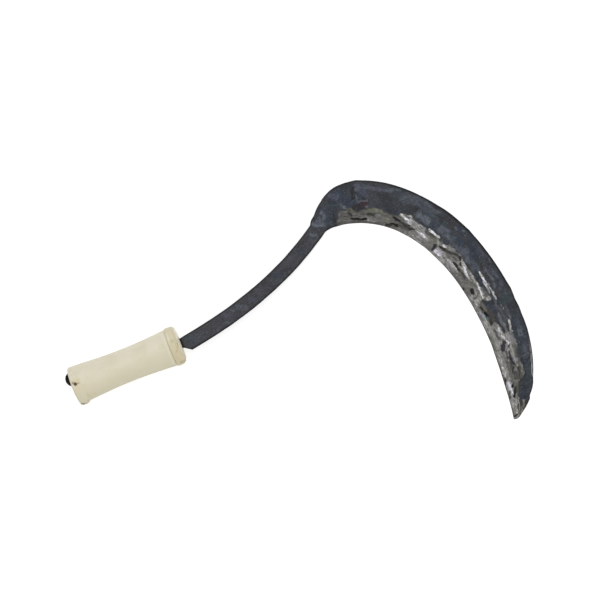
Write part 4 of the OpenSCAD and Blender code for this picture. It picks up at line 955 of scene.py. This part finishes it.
# Masks of the top: the wheel's part, its brightness, painted shade along the rounded sides, glazes and stains. The
# strokes lie at paintA, the distance from the edge before the hammer moved it, and waver, since no wheel or fire
# leaves a straight border.
def paintTop(f, topD, topA, paintA, wide, bladed):
    d = topD + noiseLayers(topD, topA, f["waverAlong"])
    a = paintA + noiseLayers(topD, topA, f["waverAcross"])
    depth = insideOutline(d, a, groundOutline)
    fade = 1.6 + 1.8 * smooth(0.5 + 1.4 * softNoise(topD, topA, 8.0, 22))
    ground = np.maximum(smooth(depth / fade + 0.5), coverage(d, a, touchedStrokes))
    tone = law(groundTone, topD) + noiseLayers(topD, topA, f["toneClouds"])
    tone = tone - f["lastLines"] * smooth(1.0 - depth / 2.2)   # scale left in the wheel's last lines
    for *line, width, level in groundStrokes:
        tone = mix(tone, level, strokeCover(d, a, line, width))
    tone = mix(tone, f["edgeTone"], f["edgeToneShare"] * smooth(1.0 - topA / 1.1))
    rimAt, rimWide, rimDark = np.transpose(f["rimShade"])
    rimShade = np.interp(topD, rimAt, rimDark) * smooth(np.interp(topD, rimAt, rimWide) - wide + topA + 0.5)
    rimShade = np.maximum(rimShade, 0.9 * (1 - bladed) * smooth(1.4 - topA / 1.7))
    loose = f["stainWaver"] * softNoise(topD, topA, 4.3, 19)   # stains of the scale waver more
    masks = {"ground": ground, "tone": tone, "rimShade": rimShade}
    for key, strokes in glazeStrokes.items():
        masks[key] = coverage(d, a, strokes)
    for key, strokes in scaleStrokes.items():
        masks[key] = coverage(d + loose, a - loose, strokes, f["stainSoftness"])
    return masks


# Relief of the top: round hammer blows on the scale, ripples of the wheel on the bevel, and pits
def topRelief(f, d, a, places, right, left, station, ground, tone):
    rng = np.random.default_rng(21)
    flat = places.reshape(-1, 2)
    blows = np.zeros(len(flat))
    struck = np.flatnonzero(station > 4)
    for _ in range(f["hammerBlows"]):
        i = rng.choice(struck)
        share, radius, deep = rng.random(), rng.uniform(*f["blowRadius"]), rng.uniform(*f["blowDepth"])
        away = np.linalg.norm(flat - mix(right[i], left[i], share), axis=1) / radius
        blows = np.minimum(blows, -deep * smooth(1.2 - away))
    blows = blows.reshape(a.shape) + 0.25 * softNoise(places[..., 0], places[..., 1], 6.0, 33)
    ripples = noiseLayers(d, a, f["ripples"]) * smooth(a / 6.0) + np.maximum(tone - 0.7, 0)
    pits = smooth((0.34 - tone) / 0.25) * smooth(a / 4.0)
    hammered, wheeled = f["hammerDeep"] * blows, f["groundDeep"] * ripples - f["pitDeep"] * pits
    return (1 - 0.7 * ground) * hammered + ground * wheeled


# Rings of the forging, each the underside from the cutting edge to the back and the top the other way
def makeForging(f):
    turned = [math.radians(turn) * radius for radius, turn in f["arcs"]]
    endD = f["shankLong"] + sum(turned) + f["pointLong"]
    right, left, station, nHair, nTang = forgingPlan(f, endD)
    thick, low, bladed = forgingLaws(f, station, f["shankLong"] + turned[0], endD, nHair, nTang)

    # the sides as the hammer left them, moved along the line that joins them
    across = left - right
    across /= np.linalg.norm(across, axis=1)[:, None]
    wave = f["outlineWave"] * smooth(station / 30)
    edgeMove = wave * softNoise(station, 0 * station, 9.0, 3) + law(f["edge"], station)
    backMove = wave * softNoise(station, 0 * station, 13.0, 4) + law(f["back"], station)
    right, left = right + across * edgeMove[:, None], left + across * backMove[:, None]
    wide = np.linalg.norm(left - right, axis=1)

    # a grid of d and a on the top and on the underside, closer to both sides than in the middle
    wide, thick, bladed, low, column = [v[:, None] for v in (wide, thick, bladed, low, station)]
    topA = wide * crowded(f["topPoints"], f["topCrowding"])[::-1]
    lowA = wide * crowded(f["lowPoints"], f["lowCrowding"])
    topD, lowD = column + 0 * topA, column + 0 * lowA
    topP, lowP = [right[:, None, :] + across[:, None, :] * a[..., None] for a in (topA, lowA)]

    masks = paintTop(f, topD, topA, topA + edgeMove[:, None], wide, bladed)
    relief = topRelief(f, topD, topA, topP, right, left, station, masks["ground"], masks["tone"])
    high = topHeight(f, topD, topA, wide, thick, bladed)
    high = high + relief * smooth((wide - topA) / 3.0) * smooth((topA + 0.4) / 2.0) * smooth(column / 20)
    lowRound = np.minimum(f["lowRound"], thick * 0.3)
    floor = lowRound * roundOff(wide - lowA)
    floor = floor + mix(lowRound, 0.12, bladed) * roundOff(lowA / mix(1.0, 0.4, bladed))
    inside = smooth(lowA / 3) * smooth((wide - lowA) / 3) * smooth(column / 20)
    floor = floor + f["lowDeep"] * inside * (1 + softNoise(lowP[..., 0], lowP[..., 1], 7.0, 41))

    # masks of the whole ring: the underside has a narrow ground line, painted shade along its sides, and no stains
    under = {
        "ground": bladed * smooth((3.2 + 1.2 * softNoise(lowD, 0 * lowD, 11.0, 51) - lowA) / 1.2 + 0.5),
        "tone": 0.5 + 0.2 * softNoise(lowD / 2, lowA, 2.0, 52),
        "rimShade": np.maximum(smooth(1.8 - wide + lowA), (1 - bladed) * smooth(1.6 - lowA)),
    }
    masks["tone"] = np.clip(masks["tone"], 0, 1)
    masks = {key: np.concatenate([under.get(key, 0 * lowA), values], 1) for key, values in masks.items()}
    d, a = np.concatenate([lowD, topD], 1), np.concatenate([lowA, topA], 1)
    # painted near-black shade on the tang's root beside the ferrule and on the hairpin, over the tang inside the
    # grip too
    masks["tangShade"] = smooth((-4.0 - d) / 4.5)   # the tang in the grip, and the hairpin
    masks["lay"] = np.stack([d, a, np.concatenate([floor, high], 1)], -1) * mm

    # the point's end: the last ring drawn in towards its middle in three steps
    rings = np.concatenate([np.concatenate([lowP, (low + floor)[..., None]], -1),
                            np.concatenate([topP, (low + high)[..., None]], -1)], 1)
    last, heading = rings[-1], math.radians(edgeHeading(endD, f))
    ahead = np.array([math.cos(heading), math.sin(heading), 0.0])
    closing = [mix(last.mean(0), last, size) + ahead * forward for size, forward in f["closing"]]
    rings = np.concatenate([rings, closing])
    masks = {key: tubeValues(np.concatenate([values, np.repeat(values[-1:], len(closing), 0)]))
             for key, values in masks.items()}
    shell = tubeShell(rings, [rings[0].mean(0), rings[-1].mean(0)])
    makePiece("forged_blade", [shell], steelMaterial, masks, "blade")


makeForging(forging)


# Marks on the plastic as the camera sees them at the level of the grip's axis: (x, y, x, y, width, strength)
gripMarks = {
    # of the grime strokes, those along the groove and in the crease before the bead are painted shade
    "grimeAndShade": [(-56.6, -18.8, -53.6, -19.8, 1.3, .8), (-53.6, -19.8, -50.6, -20.6, .9, .6),
        (-48.9, -18.3, -48.6, -18.1, .9, .5), (-56.4, 3, -54, 1.4, 2.6, .75),
        (-54, 1.4, -51.4, 1.2, 1.6, .5), (-55.2, .6, -53.6, .2, 1.4, .5), (-55.8, 15.4, -55.4, 14.8, .8, .18),
        (-55.4, 11.4, -55, 10.4, .8, .2), (-53.2, 16.8, -52.8, 15.8, .8, .14),
        (-47, -11, -47.6, -15, .9, .15), (46.2, 10, 45.3, 4.8, .7, .28),
        (45.2, -8, 45.4, -15, .8, .16), (45, 4, 44.9, -7, .7, .1)],
    "glow": [(-56.8, 4.4, -51, 3.8, 3.4, .6), (-54, 6.4, -52, 6, 3, .25),
        (-52, 2, -50.8, 1, 2.6, .5), (-46, -2.6, -49, -2, 2.4, .2),
        (-55.6, 14, -54.8, 16, 2.4, .2), (-46, -14, -39, -14.2, 2.4, .25)],
    "blush": [(-54.4, -1.6, -53.4, -5, 3.2, .4), (-38, -9.6, -30, -10.2, 4, .15)],
    # the pale strokes at x 42 to 43, before the groove, are painted highlights on its rounded edge
    "wearAndHighlight": [(42.9, -15, 42.9, 15, 2.4, .12), (-54.8, 13.6, -54.4, 12.8, 1.4, .3),
        (42, 16, 42.4, 12, 1.2, .25)],
    # the two yellowing strokes below the axis are painted shade
    "agedAndShade": [(-46, -13.4, -39.6, -13.8, 3, 1), (-54, -9, -47, -5, 6, .75),
        (-52, 12, -50, 5, 3, .6), (38, 3, 44, 1, 8, .7)],
}
collarMarks = {
    # the grime stroke along the lower side, at y -17, is painted shade
    "grimeAndShade": [(54.5, 5, 54, 1.3, .5, .45), (54, 1.3, 53, -2, .5, .4),
        (53, -2, 51, -4.5, .5, .35), (51, -4.5, 49.8, -6, .5, .35), (53.9, 1.4, 54, 1.1, 1.2, .5),
        (52, 1.9, 52.1, 1.7, .9, .4), (50, -5.6, 50.1, -5.8, 1, .45), (50, -17.4, 54.4, -17, 2.6, .3),
        (49.5, 6.1, 49.8, 5.9, 1.4, .3)],
    "glow": [(52.6, -1, 51, -5, 3, .35)],
    "blush": [(51, -10, 53.6, -13, 4.4, .3), (53.6, 14, 55, 11, 3, .3)],
    # the pale strips at the front edge are painted highlights
    "wearAndHighlight": [(55.3, -7.4, 55.5, 8, 1.8, 1), (55.9, 8, 55.6, 16, 1.4, .5),
        (47.8, 14, 47, 8, 1.4, .35)],
    # the yellowing stroke along the lower side is painted shade
    "agedAndShade": [(48, -12, 54, -15, 5, 1), (52.4, 5, 52.2, -6, 2.6, .9),
        (53.2, 15, 54, 6, 2.8, .8)],
}


# Masks of a plastic piece: its own, and the marks on its upper half, as far as they are let
def markedMasks(base, marks, places, let):
    x, y, z = np.moveaxis(places, -1, 0)
    let = let * smooth((z - 0.3) / 2.6)
    seen = asSeen(x, y, z)
    return {key: tubeValues(np.maximum(base.get(key, 0 * x), coverage(*seen, strokes) * let))
            for key, strokes in marks.items()}


# Radius of the grip at distance s from the butt and angle t: a hollow waist under the body's limit,
# joined softly with the shifted bead, both rounded at their ends
def gripRadius(s, t, g):
    waist = g["waist"] / 2 + g["waistCurve"] - np.sqrt(g["waistCurve"] ** 2 - (s + buttX) ** 2)
    body = softLower(waist, g["body"] / 2, g["bodyBlend"])
    body = body - g["endRound"] * roundOff(s / g["endRound"])
    body = body - g["grooveRound"] * roundOff((grooveX - buttX - s) / g["grooveRound"])
    rounding = np.maximum(g["beadRearRound"] * roundOff(s / g["beadRearRound"]),
                          g["beadFrontRound"] * roundOff((g["beadWide"] - s) / g["beadFrontRound"]))
    bead = g["bead"] / 2 - rounding - 6.0 * np.clip(s - g["beadWide"], 0, 1)
    # the bead's centre lies off the axis: along the ray, and beside it
    along, beside = -g["beadShift"] * np.cos(t), g["beadShift"] * np.sin(t)
    bead = along + np.sqrt(np.maximum(1.0, bead ** 2 - beside ** 2))
    return -softLower(-body, -bead, g["beadBlend"])


# The grip by rows round its axis: butt face from the middle outwards, side by its radius, and the wall
# that the ferrule hides
def makeGrip(g):
    total, endR, grooveR = grooveX - buttX, g["endRound"], g["grooveRound"]
    rows = np.concatenate([
        endR * (1 - np.cos(np.linspace(0, quarterTurn, 18))), np.linspace(endR, 12, 35)[1:],
        np.linspace(12, 14, 6)[1:], np.linspace(14, total - 2.4, 112)[1:],
        np.linspace(total - 2.4, total - grooveR, 6)[1:],
        total - grooveR * (1 - np.sin(np.linspace(0, quarterTurn, 11)))[1:]])
    turns = np.linspace(0, fullTurn, g["columns"], endpoint=False)
    s, t = np.meshgrid(rows, turns, indexing="ij")
    r = gripRadius(s, t, g)

    # hole over the pin with a raised border, and the soft unevenness of a moulding
    pinAway = np.hypot(s - pin["inset"], r * np.cos(t) - pin["y"]) + np.where(r * np.sin(t) > 0, 0, 99)
    r = r - (pin["sunk"] + 0.5) * smooth((pin["across"] / 2 + 0.22 - pinAway) / 0.35)
    r = r + g["uneven"] * smooth((pinAway - 1.6) / 0.3) * smooth(2.8 - pinAway)
    r = r + g["uneven"] * softNoise(s, t * 18, 14.0, 61) * smooth(s / 12) * smooth((total - s) / 6)
    side = around(s + buttX, r, t)

    # butt face: rows from the axis outwards, pressed in a little round the steel
    share, faceTurn = np.meshgrid(np.linspace(0, 1, 34)[1:-1], turns, indexing="ij")
    face = around(0 * share, share * r[0], faceTurn)
    steelAway = np.full(share.shape, 99.0)
    for steelY in (forging["tangRearY"], forging["tangRearY"] + 2 * forging["clinchRadius"]):
        steelAway = np.minimum(steelAway, np.hypot(np.maximum(0, np.abs(face[..., 1] - steelY) - 2.4),
                                                   np.maximum(0, np.abs(face[..., 2]) - 2.0)))
    ridge = 0.35 * smooth(1.0 - steelAway / 0.9) - 0.12 * smooth(1 - np.abs(steelAway - 1.3) / 0.7)
    face[..., 0] = buttX + ridge + g["dent"] * smooth(1 - share * 1.1)

    # inner wall of the groove, hidden by the ferrule
    reach, wallTurn = np.meshgrid([g["noseHigh"], 12.0, 5.0], turns, indexing="ij")
    rings = np.concatenate([face, side, around(0 * reach + grooveX - g["dent"], reach, wallTurn)])

    # painted shade in the groove, on the underside and at the butt's border, grime round the pin and the steel,
    # and yellowing that grows into painted shade towards the lower side
    onFace, onSide = slice(0, len(share)), slice(len(share), len(share) + len(s))
    agedAndShade, grimeAndShade, let = [np.full(rings.shape[:2], value) for value in (g["hiddenAged"], 0.0, 1.0)]
    agedAndShade[onFace] = g["faceAged"]
    agedAndShade[onSide] = g["sideAgedAndShade"][0] + g["sideAgedAndShade"][1] * smooth(0.45 - 0.75 * np.cos(t))
    grimeAndShade[onFace] = (g["steelGrime"] * smooth((1.6 - steelAway) / 1.2)
                     + g["faceGrime"] * smooth((share - 0.85) / 0.15))
    grimeAndShade[onSide] = np.max([
        g["pinGrime"] * smooth((2.0 - pinAway) / 0.5), g["seamShade"] * smooth((s - total + 0.75) / 0.6),
        g["lowShade"] * smooth((-np.cos(t) - 0.8) / 0.15), g["endShade"] * smooth((1.7 - s) / 1.2)], 0)
    let[onFace] = smooth((share - 0.9) / 0.1)   # no marks on the butt's flat
    masks = markedMasks({"agedAndShade": agedAndShade, "grimeAndShade": grimeAndShade}, gripMarks, rings, let)
    shell = tubeShell(rings, [[buttX + g["dent"], 0, 0], [grooveX - g["dent"], 0, 0]])
    makePiece("grip", [shell], gripMaterial, masks, "handle")


makeGrip(grip)


# The lip round the tang: a half-round bead carried round a rectangle with rounded corners
def lipRings(f):
    corner = f["lipCorner"]
    halfY, halfZ = [(forging[key] + f["lipWide"]) / 2 + 0.15 for key in ("tangFrontWide", "tangFrontThick")]
    b = np.linspace(0, fullTurn, 20, endpoint=False)
    sideways, outwards = [reach * np.sign(v) * np.abs(v) ** 0.7
                          for reach, v in ((f["lipWide"] / 2, np.cos(b)), (f["lipHigh"], np.sin(b)))]
    a = np.concatenate([np.linspace(0, quarterTurn, 9) + k * quarterTurn for k in range(4)])
    out = np.stack([np.cos(a), np.sin(a)], -1)
    centres = np.repeat([(1, 1), (-1, 1), (-1, -1), (1, -1)], 9, 0) * (halfY - corner, halfZ - corner)
    path = centres + corner * out + (forging["tangFrontY"], 0)
    across = path[:, None, :] + out[:, None, :] * sideways[:, None]
    return np.concatenate([np.broadcast_to(frontX + outwards[:, None], (*across.shape[:2], 1)), across], -1)


# The ferrule by rows of (x, radius): back face, rounded outside with a flat band, and front face
def makeFerrule(f):
    turns = np.linspace(0, fullTurn, f["columns"], endpoint=False)
    radius, backR, backX = f["across"] / 2, f["backRound"], grooveX + f["backGap"]
    frontRound = mix(f["roundUpper"], f["roundLower"], smooth(0.5 - 0.6 * np.cos(turns)))
    outer = radius - frontRound
    rows = [(backX, reach) for reach in (5.0, 12.0, 17.0, radius - backR - 0.15)]
    rows += [(backX + backR * (1 - math.cos(a)), radius - backR + backR * math.sin(a))
             for a in np.linspace(0, quarterTurn, 7)]
    rows += [(mix(backX + backR, frontX - frontRound, share), radius) for share in np.linspace(0, 1, 26)[1:]]
    rows += [(frontX - frontRound + frontRound * math.sin(a), outer + frontRound * math.cos(a))
             for a in np.linspace(0, quarterTurn, 22)[1:]]
    rows += [(frontX, outer * share) for share in np.linspace(1, 0, 40)[1:-1]]
    x, r = [np.array([row[k] + 0 * turns for row in rows]) for k in (0, 1)]
    t = np.broadcast_to(turns, x.shape)
    onSide = (x > grooveX + 1) & (x < frontX - 0.3) & (r > radius - 3)

    # dimple over the peg, the soft unevenness of a moulding, and the slot for the tang
    pegTurn = (t - math.radians(90 - peg["angle"]) + math.pi) % fullTurn - math.pi
    pegAway = np.hypot(x - (frontX - f["wide"] / 2), radius * pegTurn)
    r = r - onSide * (peg["sunk"] + 0.3) * smooth((peg["across"] / 2 + 0.2 - pegAway) / 0.35)
    r = r + onSide * f["uneven"] * softNoise(x, t * 19, 9.0, 71)
    rings = around(x, r, t)
    y, z = rings[..., 1], rings[..., 2]
    slotAway = np.maximum(np.abs(y - forging["tangFrontY"]) - forging["tangFrontWide"] / 2 - 0.2,
                          np.abs(z) - forging["tangFrontThick"] / 2 - 0.2)
    x = x - (x > frontX - 0.01) * f["slotDeep"] * smooth(-slotAway / 0.4)
    rings[..., 0] = x

    # The side grows yellower with painted shade towards the lower side. The front face and the steep part of
    # its rounding carry a painted highlight, paler towards the back of the blade, and take few marks
    front = (x > frontX - 1.0) * smooth((outer - r) / 2.5)
    steep = smooth((1 - (frontX - x) / frontRound - 0.78) / 0.2)
    masks = {
        "agedAndShade": f["sideAgedAndShade"][0] + f["sideAgedAndShade"][1] * smooth(0.4 - 0.8 * np.cos(t)),
        "wearAndHighlight": f["frontHighlight"] * np.maximum(front, steep) * smooth((y + 13) / 9),
        "grimeAndShade": np.max([f["seamShade"] * smooth((grooveX + 0.8 - x) / 0.6),
                         f["pegGrime"] * onSide * smooth(1 - np.abs(pegAway - 1.75) / 0.5),
                         f["slotShade"] * (x > frontX - 1.2) * smooth(1.0 - slotAway)], 0),
    }
    masks = markedMasks(masks, collarMarks, rings, (1 - front) * (1 - 0.6 * steep))
    lip = hoopShell(lipRings(f))
    for key, values in masks.items():   # the lip has nothing but a little grime
        masks[key] = np.append(values, np.full(len(lip[0]), f["lipGrime"] if key == "grimeAndShade" else 0.0))
    shell = tubeShell(rings, [[backX, 0, 0], [frontX - f["slotDeep"], 0, 0]])
    makePiece("collar", [shell, lip], ferruleMaterial, masks, "ferrule")


makeFerrule(ferrule)


# A round shaft along z from low to high, with a domed and softly dented head
def shaftShell(radius, low, high, dome, seed):
    edge = shaft["edgeRound"]
    top, shoulder = radius - edge, high - dome - edge
    levels = [(low, 0.5 * radius), (low + 0.4, radius * 0.8), (low + 1.2, radius), (shoulder, radius)]
    levels += [(shoulder + edge * math.sin(a), top + edge * math.cos(a))
               for a in np.linspace(0, quarterTurn, 6)[1:]]
    levels += [(high - dome * (r / top) ** 2, r) for r in np.linspace(top, 0, 8)[1:-1]]
    heights, radii = np.array(levels).T
    z, t = np.meshgrid(heights, np.linspace(0, fullTurn, shaft["columns"], endpoint=False), indexing="ij")
    x, y = radii[:, None] * np.cos(t), radii[:, None] * np.sin(t)
    headed = smooth((z - shoulder + 0.3) / 0.3)
    z = z - headed * shaft["dent"] * (1 + softNoise(x, y, shaft["dentCell"], seed))
    return tubeShell(np.stack([x, y, z], -1), [[0, 0, low], [0, 0, high - shaft["dent"]]])


# The pin stands on the tang, and the peg is turned about x and sits in the grip's nose
def makePins():
    low = forging["tangFrontThick"] / 2 + 0.15
    high = math.sqrt((grip["bead"] / 2) ** 2 - (pin["y"] + grip["beadShift"]) ** 2) - pin["sunk"]
    points, faces = shaftShell(pin["across"] / 2, low, high, pin["dome"], 81)
    points = points + (buttX + pin["inset"], pin["y"], 0)
    makePiece("pin_head", [(points, faces)], rustMaterial, {}, "butt_pin")
    points, faces = shaftShell(peg["across"] / 2, peg["noseRadius"] - peg["deep"],
                               ferrule["across"] / 2 - peg["sunk"], peg["dome"], 82)
    x, y, z = points.T
    cosine, sine = math.cos(math.radians(peg["angle"])), math.sin(math.radians(peg["angle"]))
    points = np.stack([x + frontX - ferrule["wide"] / 2, y * cosine + z * sine, z * cosine - y * sine], -1)
    masks = {key: np.full(len(points), peg[key]) for key in ("grimeAndShade", "agedAndShade")}
    makePiece("collar_peg", [(points, faces)], ferruleMaterial, masks, "ferrule_peg")


makePins()


# Floor, sky and lamps
studio = {
    "floorHalf": 4.0, "floorTone": 0.55, "floorGlow": 0.62, "floorRough": 0.9, "floorSpecular": 0.1,
    "sky": 0.55, "aim": (0.17, -0.03, 0.0),
    # watts, size, and metres from the aim to the picture's right, up the picture, and above the part
    "lamps": {"key": (26.0, 2.0, -0.4, 0.5, 2.3), "fill": (6.0, 1.2, 1.3, -0.6, 1.5)},
}


def makeStudio(s):
    scene = bpy.context.scene
    scene.view_settings.view_transform = "Standard"
    mesh = bpy.data.meshes.new("floor")
    half, z = s["floorHalf"], -forging["drop"] * mm
    mesh.from_pydata([(-half, -half, z), (half, -half, z), (half, half, z), (-half, half, z)], [], [(0, 1, 2, 3)])
    floor = bpy.data.objects.new("floor", mesh)
    scene.collection.objects.link(floor)
    material, _, shader, _ = startMaterial("paleFloor")
    ends = {"Base Color": (s["floorTone"],) * 3 + (1,), "Roughness": s["floorRough"],
            "Specular IOR Level": s["floorSpecular"], "Emission Color": (1, 1, 1, 1),
            "Emission Strength": s["floorGlow"]}
    for key, value in ends.items():
        shader.inputs[key].default_value = value
    mesh.materials.append(material)

    scene.world = bpy.data.worlds.new("sky")
    scene.world.use_nodes = True
    background = scene.world.node_tree.nodes["Background"]
    background.inputs["Color"].default_value = (1, 1, 1, 1)
    background.inputs["Strength"].default_value = s["sky"]

    a, target = math.radians(camera["turn"]), np.array(s["aim"])
    for name, (watts, wide, right, up, high) in s["lamps"].items():
        data = bpy.data.lights.new(name, "AREA")
        data.energy, data.size = watts, wide
        lamp = bpy.data.objects.new(name, data)
        away = np.array([right * math.cos(a) + up * math.sin(a), up * math.cos(a) - right * math.sin(a), high])
        lamp.location = target + away
        lamp.rotation_euler = (math.acos(high / np.linalg.norm(away)), 0, math.atan2(away[0], -away[1]))
        scene.collection.objects.link(lamp)


makeStudio(studio)
print("studio made")
